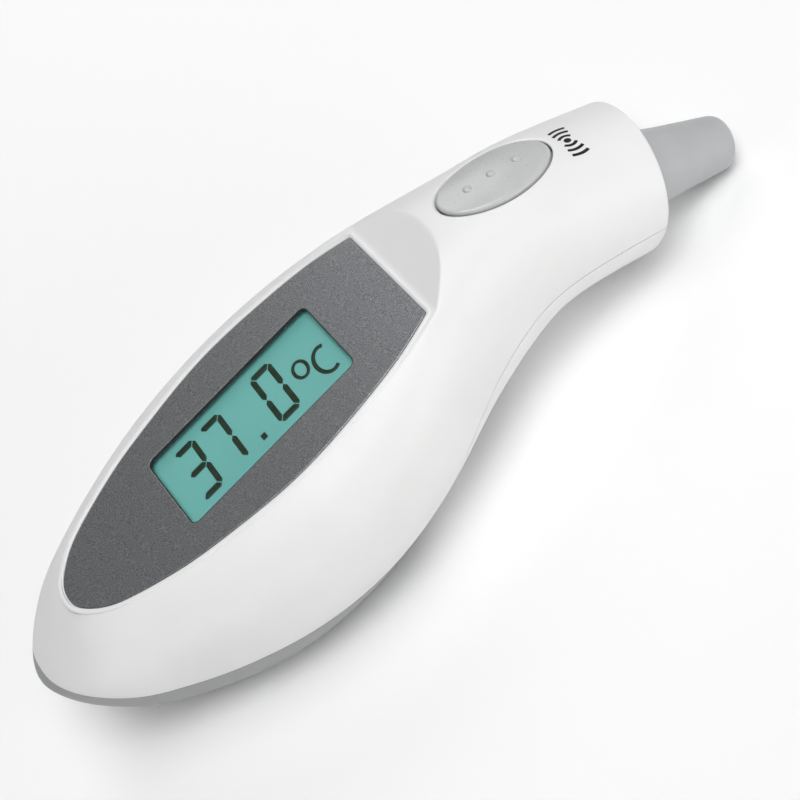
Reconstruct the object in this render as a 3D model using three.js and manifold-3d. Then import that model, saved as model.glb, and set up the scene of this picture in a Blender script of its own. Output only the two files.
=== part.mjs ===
// Digital ear thermometer lying on its back, probe towards +X.
// The casing is drawn in the frame of its flat display face: x runs from the nose of the
// handle to the probe, z is the height over the display face. The whole assembly is then
// tilted head-up so that the land on the battery cover and the probe tip meet z = 0.
import * as THREE from "three";
import { mergeVertices } from "three/addons/utils/BufferGeometryUtils.js";
import Module from "manifold-3d";

const wasm = await Module();
wasm.setup();

// ---------- driving dimensions, millimetres and degrees ----------
const CASE_LENGTH = 120; // nose to head rim
const CASE_WIDTH = 46; // widest part of the handle
const CASE_DEPTH = 35.5; // crown to back, before the display face is cut
const WALL = 2; // casing wall
const FACE_WALL = 3.4; // wall under the display face
const GAP = 0.3; // clearance between pieces that meet
const TILT = 3; // head-up tilt of the display face when the part lies down
const RAMP_START = 12.3; // where the display face turns up towards the neck
const RAMP_ANGLE = 16;



const WINDOW_LENGTH = 32.6; // opening in the grey display panel
const WINDOW_WIDTH = 15.4;
const WINDOW_X = -17.3;
const PANEL_THICK = 0.5;
const PANEL_DROP = 0.1; // panel surface below the display face
const PANE_THICK = 0.5;
const PANE_LAP = 1.8; // how far the clear pane reaches under the panel
const LCD_THICK = 1.7;

const BUTTON_X = 31.6;
const BUTTON_HALF_LENGTH = 8.8;
const BUTTON_HALF_WIDTH = 5.4;
const BUTTON_PROUD = 0.3;
const BUTTON_TRAVEL = 0.5;

const PROBE_ANGLE = 34; // probe axis below the display face
const PROBE_LENGTH = 19.7;
const PROBE_BASE_R = 7.1;
const PROBE_TIP_R = 4.3;
const PROBE_EDGE_R = 1.3;
const PROBE_MOUTH_R = 2.6;

const BOARD_THICK = 1.2;
const BOARD_TOP = -9.8;
const CELL_R = 5.25; // AAA cell
const CELL_LENGTH = 44.5;
const CELL_GAP = 0.5; // between the two cells
const CELL_TUCK = 6; // how far the cells reach in front of the cover
const CELL_CLEAR = 1; // round the cells, to the casing
const SCREW_R = 1;
const SCREW_HEAD_R = 2;

// ---------- casing shape ----------
// Each row: crown x, crown z, back x, back z, half width, height of the widest point as a
// share of the section, squareness of the section. Drawn for a 120 x 46 x 35.5 casing.
const SECTIONS = [
  [-68, -8.5, -68, -8.5, 0, 0.6, 2.5],
  [-61.5, -3.5, -61.5, -20, 10.5, 0.6, 2.5],
  [-52, 0.5, -52, -29, 15, 0.6, 2.5],
  [-36, 2, -36, -33, 21, 0.6, 2.5],
  [-17, 2.5, -17, -31.5, 23, 0.6, 2.5],
  [0, 2.5, -3, -28.5, 21, 0.58, 2.5],
  [14, 3, 8, -27.5, 16, 0.55, 2.5],
  [28, 0.2, 19, -26.5, 12.5, 0.52, 2.4],
  [38, -3.5, 28, -26.5, 12, 0.5, 2.3],
  [52, -11, 40, -32, 12, 0.5, 2],
];
// Seam between the front and back of the casing, x and z in the side view.
const SEAM = [
  [-72, -4.5], [-66, -6.5], [-60, -11], [-55, -14.5], [-48, -17], [-40, -18.2], [-30, -20],
  [-20, -22.3], [-12, -22.8], [-4, -20.6], [4, -18.3], [12, -17], [20, -16.5], [28, -17.3],
  [36, -19.7], [44, -23], [54, -27.5],
];
// Half outline of the grey display panel, x and half width, nose end to straight end.
const PANEL = [
  [-55, 0], [-54.3, 2.8], [-51, 6.4], [-46, 9.1], [-38, 11.9], [-30, 13.6], [-20, 15],
  [-10, 14.9], [0, 13.7], [6, 12.4], [11, 10.8],
];

const along = CASE_LENGTH / 120;
const across = CASE_WIDTH / 46;
const deep = CASE_DEPTH / 35.5;
const rad = THREE.MathUtils.degToRad;
// The sections are drawn round AAA cells under a board at -9.8; the handle swells and
// deepens with what it holds.
const cellGrowth = CELL_R - 5.25;
const boardDrop = -9.8 - BOARD_TOP;
SECTIONS.slice(1, 7).forEach((row, i) => {
  const share = i === 0 || i === 5 ? 0.5 : 1;
  row[3] -= share * (2 * cellGrowth + boardDrop);
  row[4] += share * 2 * cellGrowth;
});

// Smooth curve through evenly spaced values, t from 0 to 1.
function curveThrough(values, flatStart = false) {
  const n = values.length - 1;
  const bend = new Array(n + 1).fill(0);
  const lower = new Array(n + 1).fill(0);
  const right = new Array(n + 1).fill(0);
  if (flatStart) {
    lower[0] = 0.5;
    right[0] = 3 * (values[1] - values[0]);
  }
  for (let i = 1; i < n; i++) {
    const pivot = 4 - lower[i - 1];
    lower[i] = 1 / pivot;
    const second = 6 * (values[i + 1] - 2 * values[i] + values[i - 1]);
    right[i] = (second - right[i - 1]) / pivot;
  }
  for (let i = n - 1; i >= 0; i--) bend[i] = right[i] - lower[i] * bend[i + 1];
  return (t) => {
    const i = Math.min(Math.floor(t * n), n - 1);
    const b = t * n - i;
    const a = 1 - b;
    const pull = (a * a * a - a) * bend[i] + (b * b * b - b) * bend[i + 1];
    return a * values[i] + b * values[i + 1] + pull / 6;
  };
}

// Casing sections pulled in by inset (or pushed out, when negative).
function insetSections(inset) {
  return SECTIONS.map(([topX, topZ, backX, backZ, half, widest, square], i) => {
    const first = i === 0;
    const last = i === SECTIONS.length - 1;
    const top = new THREE.Vector2(topX * along, topZ * deep);
    const back = new THREE.Vector2(backX * along, backZ * deep);
    if (first) {
      top.x += inset;
      back.x += inset;
      return [top.x, top.y, back.x, back.y, 0, widest, square];
    }
    const up = top.clone().sub(back).normalize();
    top.addScaledVector(up, -inset);
    back.addScaledVector(up, inset);
    if (last) {
      const out = new THREE.Vector2(up.y, -up.x);
      top.addScaledVector(out, -inset);
      back.addScaledVector(out, -inset);
    }
    return [top.x, top.y, back.x, back.y, half * across - inset, widest, square];
  });
}

// Closed casing body, nose point to flat head rim.
function casingGeometry(inset, rings, sides) {
  const rows = insetSections(inset);
  const column = (k) => rows.map((row) => row[k]);
  const parts = [0, 1, 2, 3, 4, 5, 6].map((k) => curveThrough(column(k), k === 0 || k === 2));
  const positions = [rows[0][0], 0, rows[0][1]];
  for (let i = 1; i <= rings; i++) {
    const t = Math.pow(i / rings, 1.3);
    const [topX, topZ, backX, backZ, half, widest, square] = parts.map((part) => part(t));
    const midX = backX + (topX - backX) * widest;
    const midZ = backZ + (topZ - backZ) * widest;
    for (let j = 0; j < sides; j++) {
      const angle = (2 * Math.PI * j) / sides;
      const up = Math.sign(Math.cos(angle)) * Math.abs(Math.cos(angle)) ** (2 / square);
      const side = Math.sign(Math.sin(angle)) * Math.abs(Math.sin(angle)) ** (2 / square);
      const endX = up > 0 ? topX : backX;
      const endZ = up > 0 ? topZ : backZ;
      positions.push(midX + (endX - midX) * Math.abs(up));
      positions.push(half * side);
      positions.push(midZ + (endZ - midZ) * Math.abs(up));
    }
  }
  const end = rows[rows.length - 1];
  positions.push((end[0] + end[2]) / 2, 0, (end[1] + end[3]) / 2);
  const index = [];
  const at = (i, j) => 1 + (i - 1) * sides + (j % sides);
  for (let j = 0; j < sides; j++) index.push(0, at(1, j), at(1, j + 1));
  for (let i = 1; i < rings; i++) {
    for (let j = 0; j < sides; j++) {
      index.push(at(i, j), at(i + 1, j), at(i + 1, j + 1));
      index.push(at(i, j), at(i + 1, j + 1), at(i, j + 1));
    }
  }
  const centre = positions.length / 3 - 1;
  for (let j = 0; j < sides; j++) index.push(at(rings, j + 1), at(rings, j), centre);
  const geometry = new THREE.BufferGeometry();
  geometry.setAttribute("position", new THREE.Float32BufferAttribute(positions, 3));
  geometry.setIndex(index);
  return geometry;
}

// ---------- solids ----------
function solid(geometry) {
  const bare = geometry.clone();
  for (const name of Object.keys(bare.attributes)) {
    if (name !== "position") bare.deleteAttribute(name);
  }
  const merged = mergeVertices(bare, 1e-4);
  const triVerts = new Uint32Array(merged.index.array);
  const vertProperties = new Float32Array(merged.attributes.position.array);
  const made = new wasm.Manifold(new wasm.Mesh({ numProp: 3, vertProperties, triVerts }));
  if (made.volume() >= 0) return made;
  for (let i = 0; i < triVerts.length; i += 3) {
    [triVerts[i + 1], triVerts[i + 2]] = [triVerts[i + 2], triVerts[i + 1]];
  }
  return new wasm.Manifold(new wasm.Mesh({ numProp: 3, vertProperties, triVerts }));
}

function geometryOf(manifold) {
  const mesh = manifold.getMesh();
  const geometry = new THREE.BufferGeometry();
  geometry.setAttribute("position", new THREE.Float32BufferAttribute(mesh.vertProperties, 3));
  geometry.setIndex(Array.from(mesh.triVerts));
  const flat = geometry.toNonIndexed();
  flat.computeVertexNormals();
  return flat;
}

function box(x0, x1, y0, y1, z0, z1) {
  const geometry = new THREE.BoxGeometry(x1 - x0, y1 - y0, z1 - z0);
  return geometry.translate((x0 + x1) / 2, (y0 + y1) / 2, (z0 + z1) / 2);
}

// Upright cylinder at x, y from z0 to z1.
function post(x, y, r, z0, z1, sides = 16) {
  const geometry = new THREE.CylinderGeometry(r, r, z1 - z0, sides).rotateX(Math.PI / 2);
  return geometry.translate(x, y, (z0 + z1) / 2);
}

// Outline in x and y, extruded from z0 to z1.
function plate(shape, z0, z1, curveSegments = 6) {
  const settings = { depth: z1 - z0, bevelEnabled: false, curveSegments };
  return new THREE.ExtrudeGeometry(shape, settings).translate(0, 0, z0);
}

// Outline in x and z, extruded across the part.
function slab(points, halfWidth = 60) {
  const shape = new THREE.Shape(points.map(([x, z]) => new THREE.Vector2(x, z)));
  const settings = { depth: 2 * halfWidth, bevelEnabled: false };
  const geometry = new THREE.ExtrudeGeometry(shape, settings);
  return geometry.translate(0, 0, -halfWidth).rotateX(Math.PI / 2);
}

function roundedRectangle(cx, cy, length, width, r) {
  const shape = new THREE.Shape();
  const [x0, x1, y0, y1] = [cx - length / 2, cx + length / 2, cy - width / 2, cy + width / 2];
  shape.moveTo(x0 + r, y0);
  shape.lineTo(x1 - r, y0);
  shape.quadraticCurveTo(x1, y0, x1, y0 + r);
  shape.lineTo(x1, y1 - r);
  shape.quadraticCurveTo(x1, y1, x1 - r, y1);
  shape.lineTo(x0 + r, y1);
  shape.quadraticCurveTo(x0, y1, x0, y1 - r);
  shape.lineTo(x0, y0 + r);
  shape.quadraticCurveTo(x0, y0, x0 + r, y0);
  return shape;
}

function ellipse(cx, cy, halfLength, halfWidth) {
  const shape = new THREE.Shape();
  shape.absellipse(cx, cy, halfLength, halfWidth, 0, 2 * Math.PI);
  return shape;
}

function panelShape(outset) {
  const xs = curveThrough(PANEL.map((p) => p[0] * along));
  const ys = curveThrough(PANEL.map((p) => p[1] * across));
  const count = 22;
  const half = [];
  for (let i = 0; i <= count; i++) half.push(new THREE.Vector2(xs(i / count), ys(i / count)));
  const grown = half.map((p, i) => {
    const next = half[Math.min(i + 1, count)];
    const before = half[Math.max(i - 1, 0)];
    const run = next.clone().sub(before).normalize();
    const out = i === 0 ? new THREE.Vector2(-1, 0) : new THREE.Vector2(-run.y, run.x);
    return p.clone().addScaledVector(out, outset);
  });
  const end = grown[count];
  grown.push(new THREE.Vector2(xs(1) + outset, end.y - 0.4 * outset));
  const other = grown.slice(1).reverse().map((p) => new THREE.Vector2(p.x, -p.y));
  return new THREE.Shape([...grown, ...other]);
}

// A turned profile (radius, distance along the axis), closed on itself or on the axis.
function turned(profile, sides) {
  const points = profile.map(([r, s]) => new THREE.Vector2(r, s));
  return new THREE.LatheGeometry(points, sides);
}

const UP = new THREE.Vector3(0, 1, 0);
const probeAxis = new THREE.Vector3(Math.cos(rad(PROBE_ANGLE)), 0, -Math.sin(rad(PROBE_ANGLE)));
const rim = SECTIONS[SECTIONS.length - 1];
const rimCentre = new THREE.Vector3(
  ((rim[0] + rim[2]) / 2) * along, 0, ((rim[1] + rim[3]) / 2) * deep,
);
function alongProbe(geometry) {
  const turn = new THREE.Quaternion().setFromUnitVectors(UP, probeAxis);
  return geometry.applyQuaternion(turn).translate(rimCentre.x, rimCentre.y, rimCentre.z);
}

const crownX = curveThrough(SECTIONS.map((row) => row[0] * along), true);
const crownZ = curveThrough(SECTIONS.map((row) => row[1] * deep));
const backX = curveThrough(SECTIONS.map((row) => row[2] * along), true);
const backZs = curveThrough(SECTIONS.map((row) => row[3] * deep));
const halfWidths = curveThrough(SECTIONS.map((row) => row[4] * across));
// Height of an edge line of the casing at a given x.
function heightAt(xs, zs, x) {
  let low = 0;
  let high = 1;
  for (let i = 0; i < 40; i++) {
    const middle = (low + high) / 2;
    if (xs(middle) < x) low = middle;
    else high = middle;
  }
  return zs(low);
}
const crownAt = (x) => heightAt(crownX, crownZ, x);
const backAt = (x) => heightAt(backX, backZs, x);
const widestShares = curveThrough(SECTIONS.map((row) => row[5]));
const squares = curveThrough(SECTIONS.map((row) => row[6]));
// Half width inside the handle's wall at height z, for curve position t.
function roomAt(t, z) {
  const low = backZs(t) + WALL;
  const high = crownZ(t) - WALL;
  const middle = low + (high - low) * widestShares(t);
  const reach = z < middle ? (middle - z) / (middle - low) : (z - middle) / (high - middle);
  if (reach >= 1) return 0;
  return (halfWidths(t) - WALL) * (1 - reach ** squares(t)) ** (1 / squares(t));
}

// ---------- the assembly ----------
const thermometer = new THREE.Group();
const face = new THREE.Group(); // the frame of the display face
face.rotation.y = -rad(TILT);
thermometer.add(face);

const colours = {
  whiteShell: { color: 0xf1f1ef, roughness: 0.28 },
  panelGrey: { color: 0x7d8184, roughness: 0.45 },
  coverGrey: { color: 0x8f9294, roughness: 0.6 },
  probeGrey: { color: 0xa9abad, roughness: 0.5 },
  buttonGrey: { color: 0xcfd4d6, roughness: 0.35 },
  clear: { color: 0xe6f2f0, roughness: 0.05, transparent: true, opacity: 0.3 },
  lcd: { color: 0x6fada6, roughness: 0.2 },
  whitePlastic: { color: 0xe8e8e4, roughness: 0.5 },
  blackPlastic: { color: 0x1c1c1e, roughness: 0.5 },
  board: { color: 0x1f6b3a, roughness: 0.4 },
  chip: { color: 0x17181a, roughness: 0.5 },
  steel: { color: 0xc8c9cb, roughness: 0.3, metalness: 1 },
  aluminium: { color: 0xb9bcc0, roughness: 0.4, metalness: 1 },
  gold: { color: 0xd9b25a, roughness: 0.2, metalness: 1 },
  rubber: { color: 0x2a2a2c, roughness: 0.8 },
  copperFilm: { color: 0xb5722e, roughness: 0.4 },
  cellSleeve: { color: 0x2f4d7a, roughness: 0.35 },
  wireRed: { color: 0xa32222, roughness: 0.5 },
  wireBlack: { color: 0x202020, roughness: 0.5 },
};

function add(name, shape, look) {
  const geometry = shape.isBufferGeometry ? shape : geometryOf(shape);
  const mesh = new THREE.Mesh(geometry, new THREE.MeshStandardMaterial(colours[look]));
  mesh.name = name;
  face.add(mesh);
  return mesh;
}

const sidesOf = [-1, 1];

// ---------- probe ----------
const headRoom = Math.min(rim[4] * across, rim[4] * deep) - WALL;
const flangeR = (PROBE_BASE_R + headRoom) / 2;
function probeProfile() {
  const slope = (PROBE_BASE_R - PROBE_TIP_R) / PROBE_LENGTH;
  const edgeStart = PROBE_LENGTH - PROBE_EDGE_R;
  const flangeTop = -WALL - 1.1;
  const profile = [
    [5.6, flangeTop - 0.9], [flangeR, flangeTop - 0.9], [flangeR, flangeTop],
    [PROBE_BASE_R, flangeTop], [PROBE_BASE_R, 0],
    [PROBE_BASE_R - slope * edgeStart, edgeStart],
  ];
  for (const angle of [30, 60, 90]) {
    const across = PROBE_EDGE_R * (1 - Math.cos(rad(angle)));
    const onward = PROBE_EDGE_R * Math.sin(rad(angle));
    profile.push([PROBE_TIP_R + slope * PROBE_EDGE_R * 0.5 - across, edgeStart + onward]);
  }
  profile.push([PROBE_MOUTH_R, PROBE_LENGTH], [PROBE_MOUTH_R, PROBE_LENGTH - 1.2]);
  profile.push([3.3, PROBE_LENGTH - 1.2], [3.5, PROBE_LENGTH - 8], [5.4, 1]);
  profile.push([5.6, flangeTop - 0.9]);
  return profile;
}
const nozzle = alongProbe(turned(probeProfile(), 32));
const nozzleMesh = add("probe_nozzle", nozzle, "probeGrey");

const paneTop = PROBE_LENGTH - 1.2 - GAP;
const pane = [[0, paneTop - 0.5], [3, paneTop - 0.5], [3, paneTop], [0, paneTop]];
add("probe_window", alongProbe(turned(pane, 20)), "clear");
const holderTip = paneTop - 0.5 - GAP;
add("sensor_holder", alongProbe(turned([
  [2.75, holderTip], [2.75, -6.2], [5.1, -6.2], [5.1, -11.8], [5.9, -11.8], [5.9, -4.6],
  [4.6, -4.6], [4.6, 0.5], [3.15, 10], [3.05, holderTip], [2.75, holderTip],
], 24)), "whitePlastic");
add("waveguide_tube", alongProbe(turned([
  [2, -5.8], [2.4, -5.8], [2.4, holderTip - 0.4], [2, holderTip - 0.4], [2, -5.8],
], 20)), "gold");
add("thermopile_can", alongProbe(turned([
  [0, -10.4], [3.6, -10.4], [3.6, -10], [3.1, -10], [3.1, -6.7], [0, -6.7],
], 20)), "steel");
add("thermal_block", alongProbe(turned([
  [3.9, -11.4], [4.8, -11.4], [4.8, -6.6], [3.9, -6.6], [3.9, -11.4],
], 20)), "aluminium");
const sensorBack = -13.3;
add("sensor_board", alongProbe(turned([
  [0, sensorBack], [5.6, sensorBack], [5.6, sensorBack + 1.2], [0, sensorBack + 1.2],
], 24)), "board");

// ---------- rest plane, tangent to the probe tip ----------
face.updateMatrixWorld(true);
const restLevel = new THREE.Box3().setFromObject(nozzleMesh, true).min.z;
function underRest(raised) {
  const cutter = new THREE.BoxGeometry(400, 200, 60).translate(0, 0, restLevel + raised - 30);
  return solid(cutter.rotateY(rad(TILT)));
}

// ---------- casing ----------
const rampX = RAMP_START * along;
function overFace(lowered) {
  const rise = Math.tan(rad(RAMP_ANGLE));
  const far = rampX + 30;
  const top = 30 * rise - lowered;
  return solid(slab([
    [-90 * along, -lowered], [rampX, -lowered], [far, top], [far, 40], [-90 * along, 40],
  ]));
}
const outer = solid(casingGeometry(0, 38, 40)).subtract(overFace(0)).subtract(underRest(0));
const cavity = solid(casingGeometry(WALL, 22, 24))
  .subtract(overFace(FACE_WALL)).subtract(underRest(WALL));
const shell = outer.subtract(cavity);

const seamXs = curveThrough(SEAM.map((p) => p[0] * along));
const seamZs = curveThrough(SEAM.map((p) => p[1] * deep));
function seamSide(upper, shift) {
  const count = 28;
  const line = [];
  for (let i = 0; i <= count; i++) line.push([seamXs(i / count), seamZs(i / count) + shift]);
  const far = upper ? 60 : -90;
  return solid(slab([...line, [line[count][0], far], [line[0][0], far]]));
}
const probeHole = solid(alongProbe(turned([
  [0, -8], [PROBE_BASE_R + GAP, -8], [PROBE_BASE_R + GAP, 4], [0, 4],
], 32)));

const paneLength = WINDOW_LENGTH + 2 * PANE_LAP;
const paneWidth = WINDOW_WIDTH + 2 * PANE_LAP;
const lcdLength = paneLength - 2;
const lcdWidth = paneWidth - 2;
const panelTop = -PANEL_DROP;
const panelBack = panelTop - PANEL_THICK;
const clearPaneTop = panelBack - GAP;
const clearPaneBack = clearPaneTop - PANE_THICK;
const lcdTop = clearPaneBack - GAP;
const lcdBack = lcdTop - LCD_THICK;
const windowX = WINDOW_X * along;

const boardBack = BOARD_TOP - BOARD_THICK;
const lcdFrameTop = -FACE_WALL - GAP;
const lcdFrameHalf = lcdLength / 2 + 2;
const trayTop = boardBack - 2;
const trayBack = trayTop - 1;
const cellZ = trayBack - CELL_R - 0.25;
const cellY = CELL_R + CELL_GAP / 2;
// The cells start where the handle is first wide enough for their lower corners.
function cellsFit(t) {
  return [0, 30, 45, 60, 75].every((turn) => {
    const y = cellY + CELL_R * Math.cos(rad(turn)) + CELL_CLEAR;
    return roomAt(t, cellZ - CELL_R * Math.sin(rad(turn))) > y;
  });
}
let cellStart = 0;
while (!cellsFit(cellStart) && cellStart < 0.5) cellStart += 0.002;
const cellX = crownX(cellStart);
const cellEnd = cellX + CELL_LENGTH;
const coverX = cellEnd - CELL_TUCK;
const trayHalf = cellY + CELL_R + 0.55;
const trayNose = cellX - 3;
const trayHead = cellEnd + 3.5;
const trayScrews = sidesOf.map((s) => [cellX + CELL_LENGTH / 2, (trayHalf + 2.5) * s]);
const caseScrewX = Math.max(windowX + lcdFrameHalf + 4.2, trayHead + 8.5);
const caseScrews = sidesOf.map((s) => [caseScrewX, 10 * s]);
const boardScrews = [
  [windowX - lcdFrameHalf - 3.2, 8], [windowX - lcdFrameHalf - 3.2, -8],
  [Math.max(15.6 * along, caseScrewX + 9), 0],
];
const caseMeet = -17.5;

function boss(x, y, r, z0, z1, upper) {
  const room = solid(casingGeometry(WALL / 2, 20, 24));
  return solid(post(x, y, r, z0, z1)).intersect(room).intersect(seamSide(upper, upper ? 0.15 : -0.15));
}
function bored(piece, x, y, r, z0, z1) {
  return piece.subtract(solid(post(x, y, r, z0, z1, 12)));
}
const holeR = SCREW_R + GAP;

let front = shell.intersect(seamSide(true, GAP / 2)).subtract(probeHole);
const bossRoot = -FACE_WALL + 0.8;
for (const [x, y] of boardScrews) {
  const rise = Math.max(0, x - rampX) * Math.tan(rad(RAMP_ANGLE));
  front = front.add(boss(x, y, 2.2, BOARD_TOP + GAP, bossRoot + rise, true));
}
for (const [x, y] of caseScrews) front = front.add(boss(x, y, 3, caseMeet, bossRoot, true));
for (const [x, y] of trayScrews) front = front.add(boss(x, y, 2.4, trayTop + GAP, bossRoot, true));
for (const [x, y] of boardScrews) front = bored(front, x, y, holeR, BOARD_TOP - 1, bossRoot - 1);
for (const [x, y] of caseScrews) front = bored(front, x, y, holeR, caseMeet - 1, bossRoot - 5);
for (const [x, y] of trayScrews) front = bored(front, x, y, holeR, trayTop - 1, bossRoot - 2);
front = front.subtract(solid(plate(panelShape(GAP), panelBack - GAP, 3)));
const pocket = roundedRectangle(windowX, 0, paneLength + 2 * GAP, paneWidth + 2 * GAP, 1);
front = front.subtract(solid(plate(pocket, lcdTop, 3)));
const lcdHole = roundedRectangle(windowX, 0, lcdLength + 2 * GAP, lcdWidth + 2 * GAP, 1);
front = front.subtract(solid(plate(lcdHole, -12, 3)).intersect(solid(box(-90, 90, -90, 90,
  -FACE_WALL - 0.5, 3))));
const buttonX = BUTTON_X * along;
const buttonHole = ellipse(buttonX, 0, BUTTON_HALF_LENGTH + GAP, BUTTON_HALF_WIDTH + GAP);
const buttonBore = solid(plate(buttonHole, -20, 12, 9));
front = front.subtract(buttonBore.intersect(solid(box(-90, 90, -9, 9, -14, 12))));
add("front_housing", front, "whiteShell");

const backSide = shell.intersect(seamSide(false, -GAP / 2)).subtract(probeHole);

let back = backSide.intersect(solid(box(coverX + GAP / 2, 90, -60, 60, -60, 20)));
for (const [x, y] of caseScrews) back = back.add(boss(x, y, 3.3, -40, caseMeet - GAP, false));
for (const [x, y] of caseScrews) back = bored(back, x, y, holeR, -40, 0);
for (const [x, y] of caseScrews) back = bored(back, x, y, SCREW_HEAD_R + 0.5, -60, -21.5);
add("back_housing", back, "whiteShell");

let cover = backSide.intersect(solid(box(-140, coverX - GAP / 2, -60, 60, -60, 20)));
const rim2 = solid(casingGeometry(-0.5, 30, 36))
  .subtract(solid(casingGeometry(0.8, 24, 30))).subtract(underRest(0));
for (const x of [-60, -57.4, -54.8]) {
  const band = solid(box(x * along - 0.7, x * along + 0.7, -7, 7, -60, -13 * deep));
  cover = cover.add(rim2.intersect(band));
}
const tongueHalf = 4.5 * across;
const tongueTop = cellZ - CELL_R - 1.05;
const floorInside = backAt(coverX + 3.5) + WALL + 2 * GAP;
const tongueBack = Math.max(tongueTop - 1, floorInside);
for (const [x1, z0] of [[coverX - 0.4, backAt(coverX) + 1], [coverX + 3.5, tongueBack]]) {
  cover = cover.add(solid(box(coverX - 2.6, x1, -tongueHalf, tongueHalf, z0, tongueTop)));
}
add("battery_cover", cover, "coverGrey");

// ---------- display ----------
const windowHole = roundedRectangle(windowX, 0, WINDOW_LENGTH, WINDOW_WIDTH, 1);
const bezel = solid(plate(panelShape(0), panelBack, panelTop))
  .subtract(solid(plate(windowHole, panelBack - 1, panelTop + 1)));
add("display_bezel", bezel, "panelGrey");
add("display_window", plate(roundedRectangle(windowX, 0, paneLength, paneWidth, 1),
  clearPaneBack, clearPaneTop), "clear");
add("lcd_glass", plate(roundedRectangle(windowX, 0, lcdLength, lcdWidth, 0.4),
  lcdBack, lcdTop, 1), "lcd");
const lcdFrameSolid = solid(plate(roundedRectangle(windowX, 0, 2 * lcdFrameHalf,
  lcdWidth + 4, 1), BOARD_TOP + GAP, Math.min(lcdFrameTop, lcdBack - GAP), 2));
const lcdFrameHole = solid(plate(roundedRectangle(windowX, 0, lcdLength - 2, lcdWidth - 2,
  0.5), BOARD_TOP - 2, 0, 2));
add("lcd_frame", lcdFrameSolid.subtract(lcdFrameHole), "whitePlastic");
const guideTop = Math.min(lcdFrameTop, lcdBack - GAP) - 0.4;
const guideX0 = windowX - lcdLength / 2 + 3.4;
const innerHalf = lcdWidth / 2 - 1 - GAP;
add("backlight_guide", box(guideX0, windowX + lcdLength / 2 - 1 - GAP, -innerHalf + 2,
  innerHalf, guideTop - 2, guideTop), "clear");
add("backlight_led", box(guideX0 - 1.6, guideX0 - GAP, -1.6, 1.6, guideTop - 1.6,
  guideTop - 0.4), "whitePlastic");
add("zebra_strip", box(windowX - 14, windowX + 14, -innerHalf, -innerHalf + 1.4,
  BOARD_TOP + GAP, guideTop), "rubber");

// ---------- circuit board ----------
const boardNose = windowX - lcdFrameHalf - 6.4;
const boardStep = caseScrewX - 4;
// The board stops short of the sensor board, which leans over it.
const sensorMiddle = rimCentre.clone().addScaledVector(probeAxis, sensorBack);
const lean = (boardBack - sensorMiddle.z) * Math.tan(rad(PROBE_ANGLE));
const boardEnd = Math.min(buttonX + 4.2, sensorMiddle.x + lean - 2 * GAP);
const boardShape = new THREE.Shape([
  new THREE.Vector2(boardNose, -10.8), new THREE.Vector2(boardStep, -10.8),
  new THREE.Vector2(boardStep, -5.8), new THREE.Vector2(boardEnd, -5.8),
  new THREE.Vector2(boardEnd, 5.8), new THREE.Vector2(boardStep, 5.8),
  new THREE.Vector2(boardStep, 10.8), new THREE.Vector2(boardNose, 10.8),
]);
let board = solid(plate(boardShape, boardBack, BOARD_TOP));
for (const [x, y] of boardScrews) board = bored(board, x, y, holeR, boardBack - 1, BOARD_TOP + 1);
add("main_board", board, "board");
const chipTop = boardBack - GAP;
const chipX = windowX - 0.2;
const ampX = boardScrews[2][0] + SCREW_HEAD_R + 2.4;
add("controller_chip", box(chipX - 4.5, chipX + 4.5, -4.5, 4.5, chipTop - 1.2, chipTop), "chip");
add("amplifier_chip", box(ampX, ampX + 5, -2.5, 2.5, chipTop - 1.2, chipTop), "chip");
const crystal = new THREE.CapsuleGeometry(0.75, 4.5, 3, 10);
add("crystal_can", crystal.rotateZ(Math.PI / 2).translate(chipX + 10, 0, chipTop - 0.75), "steel");
const capacitorXs = { capacitor_1: chipX - 10.5, capacitor_2: chipX - 15.5 };
for (const [name, x] of Object.entries(capacitorXs)) {
  add(name, box(x - 1.6, x + 1.6, -1.3, 1.3, chipTop - 1.4, chipTop), "gold");
}
const buzzerX = caseScrewX + 1.8;
add("buzzer", post(buzzerX, 0, 4.5, BOARD_TOP + GAP, BOARD_TOP + GAP + 2.6, 24), "blackPlastic");

// ---------- scan button and switch ----------
const switchBack = BOARD_TOP + GAP;
const switchTop = switchBack + 2.2;
const plungerTop = switchTop + 0.9;
let switchBody = solid(box(buttonX - 3, buttonX + 3, -3, 3, switchBack, switchTop));
switchBody = bored(switchBody, buttonX, 0, 1.5 + GAP, switchTop - 1.4, switchTop + 1);
add("tact_switch", switchBody, "blackPlastic");
add("switch_plunger", post(buttonX, 0, 1.5, switchTop - 1.4 + BUTTON_TRAVEL + 0.2,
  plungerTop, 16), "blackPlastic");

const noseEdge = buttonX - BUTTON_HALF_LENGTH;
const headEdge = buttonX + BUTTON_HALF_LENGTH;
const under = (x) => crownAt(x) - WALL - 0.9;
const capBody = solid(casingGeometry(-BUTTON_PROUD, 38, 40));
const capDisc = solid(plate(ellipse(buttonX, 0, BUTTON_HALF_LENGTH, BUTTON_HALF_WIDTH),
  -20, 12, 9));
const capUnder = slab([
  [noseEdge - 4, under(noseEdge) + 0.7], [headEdge + 4, under(headEdge) - 2.5],
  [headEdge + 4, 12], [noseEdge - 4, 12],
]);
let button = capBody.intersect(capDisc).intersect(solid(capUnder));
const tab = (x0, x1, x) => solid(box(x0, x1, -1.6, 1.6, under(x) - 0.6, under(x)));
button = button.add(tab(noseEdge - 0.9, noseEdge + 2.5, noseEdge + 0.4));
button = button.add(tab(headEdge - 2.5, headEdge + 1.2, headEdge + 1.2));
const stemTop = crownAt(buttonX) - 2;
button = button.add(solid(post(buttonX, 0, 1.7, plungerTop + GAP, stemTop, 12)));
add("scan_button", button, "buttonGrey");

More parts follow.
